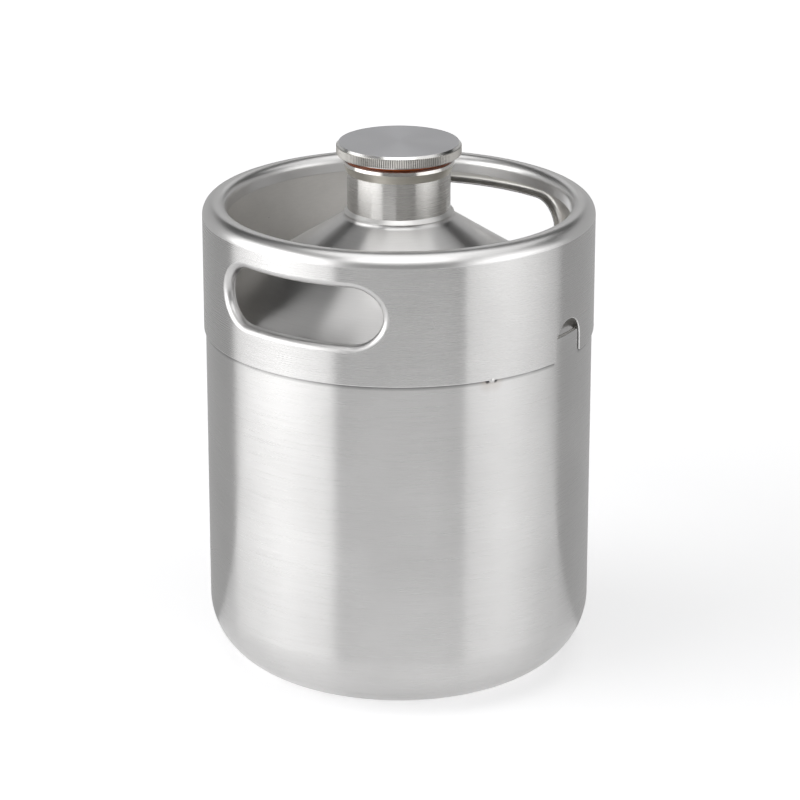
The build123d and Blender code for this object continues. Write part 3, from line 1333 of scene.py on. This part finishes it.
@dataclass
class Neck:
    """Turned neck with its threaded bore, and the bead that welds it to the shoulder.

    Lengths are in millimetres.
    """

    wall: float = 2.7
    lip_overhang: float = 1.3
    lip_edge: float = 0.9
    lip_band: float = 0.3
    lip_lean: float = 0.12  # how far the lip's face leans back over its height
    taper_height: float = 3.1
    finish_margin: float = 0.05
    mouth_chamfer: float = 0.5
    bead_width: float = 1.25
    bead_crown: float = 0.8  # how far the bead's upper face reaches out
    bead_face: float = 0.95  # how far its upper face falls
    bead_rounding: float = 0.4
    thread_turns: float = 4.6
    thread_below_lip: float = 1.6

    def __post_init__(self) -> None:
        """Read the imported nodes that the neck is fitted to."""
        self.ring = Extent.of("neck_ring")
        self.bead = Extent.of("neck_weld_bead")
        self.radius = self.ring.radius - self.lip_overhang
        self.bore = self.radius - self.wall
        self.taper_top = self.ring.high - self.lip_edge - self.lip_band
        self.taper_foot = self.taper_top - self.taper_height

    def section(self) -> Run:
        """Draw the neck's closed section.

        Returns:
            The section.
        """
        cut = self.mouth_chamfer
        return Run.loop([
            (self.bore + cut, self.ring.low, FINE_EDGE),
            (self.radius, self.ring.low, FINE_EDGE),
            (self.radius, self.taper_foot, FINE_EDGE),
            (self.ring.radius, self.taper_top, FINE_EDGE),
            (self.ring.radius - self.lip_lean, self.ring.high, FINE_EDGE),
            (self.bore + cut, self.ring.high, FINE_EDGE),
            (self.bore, self.ring.high - cut, FINE_EDGE),
            (self.bore, self.ring.low + cut, FINE_EDGE),
        ])

    def bead_section(self) -> Run:
        """Draw the section of the weld bead, sunk a little into the neck's wall.

        Returns:
            The section.
        """
        hidden = self.radius - 2 * FINE_EDGE
        return Run.loop([
            (hidden, self.bead.low - FINE_EDGE, FINE_EDGE / 2),
            (self.radius + self.bead_width, self.bead.low - FINE_EDGE, FINE_EDGE / 2),
            (self.radius + self.bead_crown, self.bead.high - self.bead_face, self.bead_rounding),
            (self.radius, self.bead.high, FINE_EDGE / 2),
            (hidden, self.bead.high, FINE_EDGE / 4),
        ])

    def face(self, radius: float, height: float) -> NeckFace:
        """Choose the finish of a part of the neck.

        Args:
            radius: Radius of the part's middle.
            height: Its height.

        Returns:
            The finish.
        """
        if radius < self.radius or height < self.taper_foot:
            return NeckFace.TURNED
        return NeckFace.LIP if height > self.taper_top - self.finish_margin else NeckFace.TAPER

    def build(self) -> None:
        """Make the neck, its thread and its weld bead."""
        steels = {
            NeckFace.TURNED: TURNED_NECK.material(),
            NeckFace.LIP: POLISHED_LIP.material(),
            NeckFace.TAPER: LIP_TAPER.material(),
        }
        ring, bead = Skin(), Skin()
        ring.turn(self.section(), self.face)
        bead.turn(self.bead_section())
        adopt(ring.piece("neck_tube", list(steels.values())), "keg", "neck_steel", "neck_ring")
        adopt(bead.piece("neck_bead", [NECK_WELD.material()]), "keg", "weld_steel", "neck_weld_bead")
        thread = Thread()
        start = self.ring.high - self.thread_below_lip - self.thread_turns * thread.pitch
        span = (start, self.ring.high)
        ridge = thread.ridge(
            "neck_thread", self.bore, -1, self.thread_turns, span, steels[NeckFace.TURNED]
        )
        adopt(ridge, "keg", "neck_steel")


class CapFace(IntEnum):
    """Finishes of the cap."""

    TURNED = 0
    CHAMFER = 1
    KNURLED = 2


@dataclass
class Cap:
    """Turned screw cap with a knurled band and a threaded plug, and the ring that it squeezes.

    Lengths are in millimetres.
    """

    top_chamfer: float = 0.85
    bottom_chamfer: float = 0.35
    thickness: float = 4.0
    skirt: float = 0.15  # the disc's edge reaches this far down past the seal's seat
    groove_depth: float = 0.6
    groove_room: float = 0.3
    plug_radius: float = 13.8
    plug_wall: float = 3.2
    plug_end_chamfer: float = 0.8
    floor: float = 3.5
    floor_bend: float = 0.4
    mouth_bend: float = 0.2
    band_bend: float = 0.08
    seal_width: float = 3.2
    seal_rounding: float = 1.15
    ridge_spacing: float = 0.74
    ridge_depth: float = 0.28
    knurl_margin: float = 0.15
    thread_turns: float = 2.9
    thread_above_end: float = 1.2
    thread_lead: float = 1.5  # half a pitch, so that the ridges of cap and neck lie between each other

    def __post_init__(self) -> None:
        """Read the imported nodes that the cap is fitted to."""
        self.body = Extent.of("screw_cap")
        self.seal = Extent.of("cap_seal")
        self.underside = self.body.high - self.thickness - self.skirt
        self.band_radius = self.body.radius - self.ridge_depth
        self.band_low = self.underside + self.bottom_chamfer
        self.band_high = self.body.high - self.top_chamfer

    def section(self) -> Run:
        """Draw the cap's section, from the plug's bore round to the middle of its top.

        Returns:
            The section.
        """
        bore, plug = self.plug_radius - self.plug_wall, self.plug_radius
        groove = self.seal.radius + self.groove_room
        seat = self.underside + self.skirt + self.groove_depth
        return Run.through([
            (0, self.body.high - self.floor),
            (bore, self.body.high - self.floor, self.floor_bend),
            (bore, self.body.low, self.mouth_bend),
            (plug - self.plug_end_chamfer, self.body.low, FINE_EDGE),
            (plug, self.body.low + self.plug_end_chamfer, FINE_EDGE),
            (plug, seat, FINE_EDGE),
            (groove, seat, FINE_EDGE),
            (groove, self.underside, FINE_EDGE),
            (self.body.radius - self.bottom_chamfer, self.underside, self.band_bend),
            (self.band_radius, self.band_low, self.band_bend),
            (self.band_radius, self.band_high, self.band_bend),
            (self.body.radius - self.top_chamfer, self.body.high, FINE_EDGE),
            (0, self.body.high),
        ])

    def seal_section(self) -> Run:
        """Draw the closed section of the squeezed ring.

        Returns:
            The section.
        """
        inner, rounding = self.seal.radius - self.seal_width, self.seal_rounding
        return Run.loop([
            (inner, self.seal.low, rounding),
            (self.seal.radius, self.seal.low, rounding),
            (self.seal.radius, self.seal.high, rounding),
            (inner, self.seal.high, rounding),
        ])

    def face(self, radius: float, height: float) -> CapFace:
        """Choose the finish of a part of the cap.

        Args:
            radius: Radius of the part's middle.
            height: Its height.

        Returns:
            The finish.
        """
        inside = radius < self.body.radius - self.top_chamfer - FINE_EDGE
        if inside or height < self.underside or height > self.body.high - FACE_MARGIN:
            return CapFace.TURNED
        return CapFace.KNURLED if self.band_low < height < self.band_high else CapFace.CHAMFER

    def build(self) -> None:
        """Make the cap, its knurl and thread, and the seal."""
        ridges = round(2 * math.pi * self.band_radius / self.ridge_spacing)
        steels = {
            CapFace.TURNED: TURNED_CAP.material(),
            CapFace.CHAMFER: CAP_CHAMFER.material(),
            CapFace.KNURLED: replace(KNURLED_BAND, flutes=ridges).material(),
        }
        disc, ring = Skin(), Skin()
        disc.turn(self.section(), self.face)
        ring.turn(self.seal_section())
        adopt(disc.piece("cap_disc", list(steels.values())), "cap", "cap_steel", "screw_cap")
        adopt(ring.piece("cap_ring_seal", [Silicone().material()]), "seal", "seal_silicone", "cap_seal")
        low, high = self.band_low, self.band_high - self.knurl_margin
        knurl = grown("cap_knurl", knurl_tree(), {
            "Count": ridges,
            "Ring Radius": self.band_radius * MM,
            "Ridge Height": (high - low) * MM,
            "Ridge Width": self.ridge_spacing * MM,
            "Ridge Depth": self.ridge_depth * MM,
            "Middle Height": (low + high) / 2 * MM,
            "Material": steels[CapFace.KNURLED],
        })
        adopt(knurl, "cap", "cap_steel")
        start = self.body.low + self.thread_above_end
        crossing = Extent.of("neck_ring").high - self.thread_lead
        ridge = Thread().ridge(
            "cap_thread", self.plug_radius, 1, self.thread_turns, (start, crossing), steels[CapFace.TURNED]
        )
        adopt(ridge, "cap", "cap_steel")


class CollarFace(IntEnum):
    """Finishes of the collar."""

    OUTSIDE = 0
    INSIDE = 1
    RIM = 2
    DRAWN_EDGE = 3
    CUT_EDGE = 4


@dataclass
class Collar:
    """Carrying collar: a developed sheet with drawn handle slots, drain notches and a rolled rim.

    Lengths are in millimetres. Its wall is laid out in four quarters. A place in a quarter is its
    length round the outer face and its height.
    """

    sheet: float = 0.6
    overlap: float = 7.8
    outer_bend: float = 4.6
    inner_bend: float = 3.2
    rim_flat: float = 0.5
    lip_depth: float = 6.2
    slot_width: float = 58.7
    slot_opening: float = 19.9
    slot_rise: float = 23.2
    slot_edge: float = 2.2
    flange_depth: float = 3.6
    notch_width: float = 15.9
    notch_height: float = 13.3
    notch_foot: float = 0.8
    rounding: float = 0.29  # of the edges of the notches and of the collar's foot
    side_steps: int = 24
    rings: int = 18
    ring_easing: float = 1.4  # over 1, the rings lie closer together at the opening
    fillet_steps: int = 8
    slot_corner: float = math.radians(42)  # where the slot's end meets a corner of its quarter

    def __post_init__(self) -> None:
        """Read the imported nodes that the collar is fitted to."""
        node = Extent.of("handle_collar")
        self.radius = node.radius
        self.top = node.high
        self.edge = Extent.of("body_cup").high - self.overlap
        self.wall_top = self.top - self.outer_bend
        self.slot_height = self.edge + self.slot_rise
        self.reach = self.radius * math.pi / 4

    def easing(self) -> np.ndarray:
        """Place the rings of faces between an opening and its quarter's border.

        Returns:
            Shares of the way, from 0 at the opening to 1 at the border.
        """
        return np.linspace(0, 1, self.rings + 1) ** self.ring_easing

    def frame_line(self, foot: float) -> np.ndarray:
        """Draw a quarter's border: up its left side, along its top and down its right side.

        Args:
            foot: Height where the sides begin and end.

        Returns:
            Places of the border.
        """
        heights = np.linspace(foot, self.wall_top, self.side_steps + 1)
        lengths = np.linspace(-self.reach, self.reach, QUARTER + 1)
        left = np.stack([np.full_like(heights, -self.reach), heights], axis=1)
        top = np.stack([lengths, np.full_like(lengths, self.wall_top)], axis=1)
        return np.concatenate([left[:-1], top, (left * (-1, 1))[::-1][1:]])

    def wrap(self, plan: np.ndarray, depth: np.ndarray | float, middle: float) -> np.ndarray:
        """Bend places of a quarter round the keg.

        Args:
            plan: Lengths round the outer face and heights, in the last axis.
            depth: Depth under the outer face.
            middle: Angle of the quarter's middle from the front, in radians.

        Returns:
            Points in space.
        """
        angle = plan[..., 0] / self.radius + middle
        reach = self.radius - depth
        return np.stack([reach * np.sin(angle), -reach * np.cos(angle), plan[..., 1]], axis=-1)

    def outward(self, plan: np.ndarray, middle: float) -> np.ndarray:
        """Find the outer face's normals.

        Args:
            plan: Lengths round the outer face and heights, in the last axis.
            middle: Angle of the quarter's middle from the front, in radians.

        Returns:
            Unit normals.
        """
        angle = plan[..., 0] / self.radius + middle
        return np.stack([np.sin(angle), -np.cos(angle), np.zeros_like(angle)], axis=-1)

    def walls(self, skin: Skin, opening: np.ndarray, border: np.ndarray, middle: float) -> None:
        """Add both faces of the sheet between an opening and its quarter's border.

        Args:
            skin: Skin to add to.
            opening: Places round the opening.
            border: As many places of the border.
            middle: Angle of the quarter's middle from the front, in radians.
        """
        share = self.easing()[:, None, None]
        plan = (1 - share) * opening[None] + share * border[None]
        normals = self.outward(plan, middle)
        skin.grid(self.wrap(plan, 0.0, middle), normals, CollarFace.OUTSIDE)
        skin.grid(self.wrap(plan, self.sheet, middle), -normals, CollarFace.INSIDE)

    def cut_edge(self, skin: Skin, line: np.ndarray, out: np.ndarray, middle: float) -> None:
        """Add the sheet's deburred edge along a line.

        Args:
            skin: Skin to add to.
            line: Places of the line, one edge radius inside the metal.
            out: Unit directions out of the metal, in the developed sheet.
            middle: Angle of the quarter's middle from the front, in radians.
        """
        points, normals = [], []
        radial = self.outward(line, middle)
        steps = [(t, self.rounding * (1 - math.cos(t)), 1.0) for t in EDGE_TURNS]
        steps += [(t, self.sheet - self.rounding * (1 - math.cos(t)), -1.0) for t in EDGE_TURNS[::-1]]
        for turn, depth, side in steps:
            points.append(self.wrap(line + self.rounding * math.sin(turn) * out, depth, middle))
            angle = line[:, 0] / self.radius + middle
            along = np.stack([np.cos(angle) * out[:, 0], np.sin(angle) * out[:, 0], out[:, 1]], axis=-1)
            normals.append(side * math.cos(turn) * radial + math.sin(turn) * along)
        skin.grid(np.array(points), np.array(normals), CollarFace.CUT_EDGE)

    def slot_outline(self) -> tuple[np.ndarray, np.ndarray]:
        """Draw the slot's outline as it is seen from the front.

        The points go up the left end, along the top, down the right end and back along the bottom,
        with as many steps in each as the quarter's border has.

        Returns:
            The points, and the directions from them into the metal.
        """
        end = self.slot_opening / 2
        straight = self.slot_width / 2 - end

        def rounded(first: float, last: float, steps: int) -> np.ndarray:
            """Turn from one angle to another.

            Args:
                first: The first angle.
                last: The last.
                steps: Steps between them.

            Returns:
                Unit directions.
            """
            turns = np.linspace(first, last, steps + 1)
            return np.stack([np.cos(turns), np.sin(turns)], axis=1)

        left = rounded(math.pi + self.slot_corner, math.pi - self.slot_corner, self.side_steps)
        shoulder = rounded(math.pi - self.slot_corner, math.pi / 2, self.side_steps)
        half = np.concatenate([shoulder * end + (-straight, 0.0), shoulder], axis=1)
        whole = np.concatenate([half, (half * (-1, 1, -1, 1))[::-1]])
        run = Run(whole[:, :2], whole[:, 2:])
        top = run.spread([0.0, run.length], [QUARTER])
        across = np.concatenate([top.points, top.normals], axis=1)
        upward = np.concatenate([left * end + (-straight, 0.0), left], axis=1)
        outline = np.concatenate([
            upward[:-1],
            across[:-1],
            (upward * (-1, 1, -1, 1))[::-1][:-1],
            (across * (1, -1, 1, -1))[::-1],
        ])
        return outline[:, :2] + (0.0, self.slot_height), outline[:, 2:]

    def slot_quarter(self, skin: Skin, middle: float) -> None:
        """Add the quarter of the wall that holds a handle slot, with the slot's drawn edge.

        Args:
            skin: Skin to add to.
            middle: Angle of the quarter's middle from the front, in radians.
        """
        outline, into = self.slot_outline()
        seat = outline + self.slot_edge * into
        ball = self.radius - self.slot_edge
        front = -np.sqrt(ball ** 2 - seat[:, 0] ** 2)
        centre = np.stack([seat[:, 0], front, seat[:, 1]], axis=1)
        radial = np.stack([seat[:, 0], front, np.zeros_like(front)], axis=1) / ball
        toward = np.stack([-into[:, 0], np.zeros_like(front), -into[:, 1]], axis=1)
        turn = np.arccos(np.einsum("ij,ij->i", radial, toward))[:, None]
        arcs = [
            (np.sin((1 - share) * turn) * radial + np.sin(share * turn) * toward) / np.sin(turn)
            for share in np.linspace(0, 1, self.fillet_steps + 1)
        ]
        rows = [(centre + self.slot_edge * arc, arc) for arc in arcs]
        rim = np.stack([outline[:, 0], front, outline[:, 1]], axis=1)
        deep = -np.sqrt((self.radius - self.flange_depth) ** 2 - outline[:, 0] ** 2) - front
        inward = np.array([0.0, 1.0, 0.0])
        tip = rim + (deep - FINE_EDGE)[:, None] * inward
        for side, under, turns in (
            (1, FINE_EDGE, EDGE_TURNS), (-1, self.sheet - FINE_EDGE, EDGE_TURNS[::-1]),
        ):
            for t in turns:
                facing = side * math.cos(t) * toward + math.sin(t) * inward
                rows.append((tip - under * toward + FINE_EDGE * facing, facing))
        behind = [(centre + (self.slot_edge - self.sheet) * arc, -arc) for arc in arcs[::-1]]
        spin = np.array([
            [math.cos(middle), -math.sin(middle), 0.0],
            [math.sin(middle), math.cos(middle), 0.0],
            [0.0, 0.0, 1.0],
        ])
        for group, face in ((rows, CollarFace.DRAWN_EDGE), ([rows[-1], *behind], CollarFace.INSIDE)):
            points, normals = (np.array([row[i] for row in group]) @ spin.T for i in (0, 1))
            skin.grid(points, normals, face)
        opening = np.stack([np.arctan2(seat[:, 0], -front) * self.radius, seat[:, 1]], axis=1)
        sides = self.frame_line(self.edge + self.rounding)
        lengths = np.linspace(self.reach, -self.reach, QUARTER + 1)
        base = np.stack([lengths, np.full_like(lengths, self.edge + self.rounding)], axis=1)
        self.walls(skin, opening, np.concatenate([sides, base[1:]]), middle)
        self.cut_edge(skin, base, np.tile((0.0, -1.0), (len(base), 1)), middle)

    def notch_quarter(self, skin: Skin, middle: float) -> None:
        """Add the quarter of the wall that holds a drain notch.

        Args:
            skin: Skin to add to.
            middle: Angle of the quarter's middle from the front, in radians.
        """
        half = self.radius * math.asin(self.notch_width / 2 / self.radius)
        crown = self.edge + self.notch_height
        arch_bend = half - NARROW
        line = Run.through([
            (-self.reach, self.edge),
            (-half, self.edge, self.notch_foot),
            (-half, crown, arch_bend),
            (half, crown, arch_bend),
            (half, self.edge, self.notch_foot),
            (self.reach, self.edge),
        ])
        plain = self.reach - half - self.notch_foot
        arch = line.spread([plain, line.length - plain], [2 * self.side_steps + QUARTER])
        opening = arch.shifted(-self.rounding)
        border = self.frame_line(self.edge + self.rounding)
        self.walls(skin, opening, border, middle)
        share = self.easing()[:, None]
        feet = [(1 - share) * opening[i] + share * border[i] for i in (0, -1)]
        down = np.tile((0.0, -1.0), (len(share), 1))
        self.cut_edge(
            skin,
            np.concatenate([feet[0][::-1], opening[1:-1], feet[1]]),
            np.concatenate([down, arch.normals[1:-1], down]),
            middle,
        )

    def rim_section(self) -> Run:
        """Draw the section of the rolled rim, open where it meets the wall.

        Returns:
            The section.
        """
        lip = self.radius - self.outer_bend - self.rim_flat - self.inner_bend
        face = Run.through([
            (self.radius, self.wall_top),
            (self.radius, self.top, self.outer_bend),
            (lip, self.top, self.inner_bend),
            (lip, self.top - self.lip_depth),
        ])
        return sheet_section(face, self.sheet, FINE_EDGE, (False, True))

    def build(self) -> None:
        """Make the collar as one skin."""
        skin = Skin()
        for middle in (0.0, math.pi):
            self.slot_quarter(skin, middle)
        for middle in (math.pi / 2, -math.pi / 2):
            self.notch_quarter(skin, middle)
        skin.turn(self.rim_section(), CollarFace.RIM)
        finishes = {
            CollarFace.OUTSIDE: BRUSHED_COLLAR,
            CollarFace.INSIDE: MILL_SHEET,
            CollarFace.RIM: ROLLED_RIM,
            CollarFace.DRAWN_EDGE: DRAWN_EDGE,
            CollarFace.CUT_EDGE: CUT_EDGE,
        }
        piece = skin.piece("handle_collar_sleeve", [finish.material() for finish in finishes.values()])
        adopt(piece, "keg", "collar_steel", "handle_collar")


@dataclass
class Tacks:
    """Four small welds that hold the collar's lower edge on the cup. Lengths are in millimetres."""

    angle: float = 31.0  # from the middle of a drain notch, in degrees
    width: float = 2.2
    height: float = 1.9
    thickness: float = 0.95
    pit_offset: float = 1.5  # from the tack's middle to the painted shade of the pit beside it
    pit_length: float = 0.9
    pit_height: float = 1.2
    steps: int = 10

    def build(self) -> None:
        """Make the four tacks as one piece."""
        collar, cup = Extent.of("handle_collar"), Extent.of("body_cup")
        edge = Collar().edge
        work = bmesh.new()
        for notch in (0, math.pi):
            for side in (-1, 1):
                turn = notch + side * math.radians(self.angle)
                place = Vector((math.cos(turn), math.sin(turn), 0)) * (cup.radius + collar.radius) / 2
                place.z = edge
                size = Matrix.Diagonal((self.thickness, self.width, self.height, 1))
                matrix = Matrix.Translation(place) @ Matrix.Rotation(turn, 4, "Z") @ size
                bmesh.ops.create_uvsphere(
                    work, u_segments=2 * self.steps, v_segments=self.steps, radius=0.5, matrix=matrix
                )
        bmesh.ops.scale(work, vec=(MM, MM, MM), verts=work.verts)
        for face in work.faces:
            face.smooth = True
        mesh = bpy.data.meshes.new("collar_tacks")
        work.to_mesh(mesh)
        work.free()
        mesh.materials.append(NECK_WELD.material())
        adopt(placed("collar_tacks", mesh), "keg", "weld_steel", "collar_tack_welds")


# ---------------------------------------------------------------------------------------------
# Studio
# ---------------------------------------------------------------------------------------------


@dataclass(frozen=True)
class Softbox:
    """A lit panel that faces the keg. Angles are in degrees, lengths in metres."""

    name: str
    azimuth: float  # seen from the keg, to the right of the camera
    elevation: float
    distance: float
    width: float
    height: float
    level: float  # 1 is the brightness of a white surface in full light
    spread: float = 180  # a narrow spread is dimmer towards the panel's ends

    def place(self, camera_azimuth: float, target: Vector) -> None:
        """Add the lamp to the scene.

        Args:
            camera_azimuth: Direction of the camera from the keg.
            target: Place that the lamp faces.
        """
        lamp = bpy.data.lights.new(self.name, "AREA")
        lamp.shape = "RECTANGLE"
        lamp.size, lamp.size_y = self.width, self.height
        half = math.radians(self.spread) / 2
        focus = 1 / (1 - half / math.tan(half)) if self.spread < 180 else 1
        lamp.spread = 2 * half
        lamp.energy = 4 * self.level * self.width * self.height / focus
        turn, rise = math.radians(camera_azimuth + self.azimuth), math.radians(self.elevation)
        away = Vector((math.sin(turn) * math.cos(rise), -math.cos(turn) * math.cos(rise), math.sin(rise)))
        panel = placed(self.name, lamp)
        panel.location = target + away * self.distance
        panel.rotation_euler = away.to_track_quat("Z", "Y").to_euler()
        panel.visible_camera = False


@dataclass(frozen=True)
class Card:
    """A glowing card bent round the keg, seen only in reflections. Angles in degrees, lengths in metres."""

    name: str
    first: float  # azimuth from the keg, to the right of the camera
    last: float
    low: float  # elevation from the keg's middle
    high: float
    distance: float
    level: float
    clearance: float = 0.002  # over the floor, where a low card lies flat

    def place(self, camera_azimuth: float, target: Vector) -> None:
        """Add the card to the scene.

        Args:
            camera_azimuth: Direction of the camera from the keg.
            target: The keg's middle.
        """
        turns = self.steps(camera_azimuth + self.first, camera_azimuth + self.last)
        rises = self.steps(self.low, self.high)
        across, upward = np.meshgrid(turns, rises)
        level = np.cos(upward)
        away = np.stack([np.sin(across) * level, -np.cos(across) * level, np.sin(upward)], axis=-1)
        to_floor = (target.z - self.clearance) / np.maximum(-away[..., 2:], HORIZON)
        skin = Skin()
        skin.grid((np.array(target) + away * np.minimum(self.distance, to_floor)) / MM, -away)
        card = skin.piece(self.name, [glowing(self.name, self.level)])
        for sense in ("camera", "diffuse", "transmission", "volume_scatter", "shadow"):
            setattr(card, f"visible_{sense}", False)

    @staticmethod
    def steps(first: float, last: float) -> np.ndarray:
        """Step evenly from one angle to another.

        Args:
            first: The first angle, in degrees.
            last: The last, in degrees.

        Returns:
            The steps, in radians.
        """
        count = max(2, math.ceil(math.radians(last - first) / ARC_STEP))
        return np.radians(np.linspace(first, last, count + 1))


def glowing(name: str, level: object, rays: str = "all") -> bpy.types.Material:
    """Build a plain glowing material for the stage.

    Args:
        name: The material's name.
        level: Strength, where 1 is white.
        rays: "all", or "background" for the rays that see the stage as background.

    Returns:
        The material.
    """
    material, graph, shader = start_material(name)
    material.node_tree.nodes.remove(shader)
    strength = graph.math("MULTIPLY", background_rays(graph), level) if rays == "background" else level
    glow = graph.add("ShaderNodeEmission", {"Strength": strength})
    graph.join(glow.outputs[0], material.node_tree.nodes["Material Output"].inputs["Surface"])
    return material


def background_rays(graph: Graph) -> bpy.types.NodeSocket:
    """Find the rays that see the stage as background: from the camera, a reflection or glass.

    Args:
        graph: The material's graph.

    Returns:
        1 for these rays and 0 for all others.
    """
    path = graph.add("ShaderNodeLightPath").outputs
    seen = graph.math("MAXIMUM", path["Is Camera Ray"], path["Is Glossy Ray"])
    return graph.math("MAXIMUM", seen, path["Is Transmission Ray"])


@dataclass
class Studio:
    """Pale floor and backdrop, soft lamps and the camera. Angles are in degrees, lengths in metres."""

    azimuth: float = 31.7
    camera_distance: float = 1.146  # level distance from the keg's axis
    camera_height: float = 0.498
    camera_pitch: float = 19.52  # below the horizon
    lens: float = 157.6  # millimetres
    sensor: float = 36  # millimetres
    camera_shift: tuple[float, float] = (0.0014, 0.00125)  # shares of the picture's width
    columns: int = 96  # steps round the floor and the backdrop
    floor_radius: float = 6.0
    floor_tone: tuple[float, float, float] = (0.80, 0.80, 0.81)
    floor_roughness: float = 0.9
    glow_start: float = 0.2  # distance from the keg where the floor begins to get brighter
    glow_end: float = 1.0
    near_glow: float = 0.53
    far_glow: float = 0.97
    wall_height: float = 0.95
    wall_level: float = 1.0
    world_level: float = 0.0
    # Name, azimuth, elevation, distance, width, height, level and spread.
    softboxes: tuple[Softbox, ...] = (
        Softbox("left_softbox", -74, 12, 1.0, 1.5, 1.1, 2.9, 104),
        Softbox("right_softbox", 64, 12, 1.0, 1.4, 1.1, 1.8, 76),
        Softbox("top_softbox", 0, 85, 1.2, 1.2, 1.2, 1.29),
    )
    # Name, first and last azimuth, low and high elevation, distance and level.
    cards: tuple[Card, ...] = (
        Card("front_card", -34, 36, -9, 38, 0.55, 0.29),
        Card("front_high_card", -34, 36, 38, 64, 0.55, 2.45),
        Card("left_card", -165, -98, -60, 38, 0.25, 0.54),
        Card("left_high_card", -130, -37, 42, 64, 0.8, 0.27),
        Card("right_card", 94, 165, -60, 38, 0.25, 0.55),
        Card("right_high_card", 31, 130, 42, 64, 0.8, 1.17),
        Card("back_card", 160, 200, 9, 24, 0.8, 0.4),
        Card("back_middle_card", 160, 200, 24, 40, 0.8, 1.03),
    )

    def floor_material(self) -> bpy.types.Material:
        """Build the floor's material: pale, and lit a little for the rays that see it as background.

        Returns:
            The material.
        """
        material, graph, shader = start_material("studio_floor")
        shader.inputs["Base Color"].default_value = (*self.floor_tone, 1)
        shader.inputs["Roughness"].default_value = self.floor_roughness
        shader.inputs["Specular IOR Level"].default_value = 0.0
        place = graph.add("ShaderNodeTexCoord").outputs["Object"]
        away = graph.add("ShaderNodeVectorMath", {0: place}, operation="LENGTH").outputs["Value"]
        level = graph.spread(away, self.glow_start, self.glow_end, self.near_glow, self.far_glow)
        strength = graph.math("MULTIPLY", background_rays(graph), level)
        glow = graph.add("ShaderNodeEmission", {"Strength": strength})
        both = graph.add("ShaderNodeAddShader", {0: shader.outputs[0], 1: glow.outputs[0]})
        graph.join(both.outputs[0], material.node_tree.nodes["Material Output"].inputs["Surface"])
        return material

    def build(self) -> None:
        """Make the stage, the lamps and the camera."""
        scene = bpy.context.scene
        floor, wall = Skin(), Skin()
        reach = self.floor_radius / MM
        floor.turn(Run.through([(reach, 0), (0, 0)]), columns=self.columns)
        wall.turn(Run.through([(reach, 0), (reach, self.wall_height / MM)]), columns=self.columns)
        for skin, name, material in (
            (floor, "studio_floor", self.floor_material()),
            (wall, "studio_backdrop", glowing("studio_backdrop", self.wall_level, "background")),
        ):
            skin.piece(name, [material])
        world = bpy.data.worlds.new("studio_world")
        world.use_nodes = True
        background = world.node_tree.nodes["Background"].inputs
        background["Color"].default_value = (1, 1, 1, 1)
        background["Strength"].default_value = self.world_level
        scene.world = world
        target = Vector((0, 0, (cad_box[0].z + cad_box[1].z) / 2))
        for softbox in self.softboxes:
            softbox.place(self.azimuth, target)
        for card in self.cards:
            card.place(self.azimuth, target)
        camera = placed("camera", bpy.data.cameras.new("camera"))
        turn, distance = math.radians(self.azimuth), self.camera_distance
        camera.location = (distance * math.sin(turn), -distance * math.cos(turn), self.camera_height)
        camera.rotation_euler = (math.radians(90 - self.camera_pitch), 0, turn)
        camera.data.lens = self.lens
        camera.data.sensor_width = self.sensor
        camera.data.shift_x, camera.data.shift_y = self.camera_shift
        scene.camera = camera
        scene.view_settings.view_transform = "Standard"


def main() -> None:
    """Build the keg round its frame, then the studio."""
    logging.basicConfig(level=logging.INFO, format="%(name)s: %(message)s")
    for part in (Vessel(), Neck(), Collar(), Tacks(), Cap()):
        part.build()
    Studio().build()


if __name__ == "__main__":
    main()
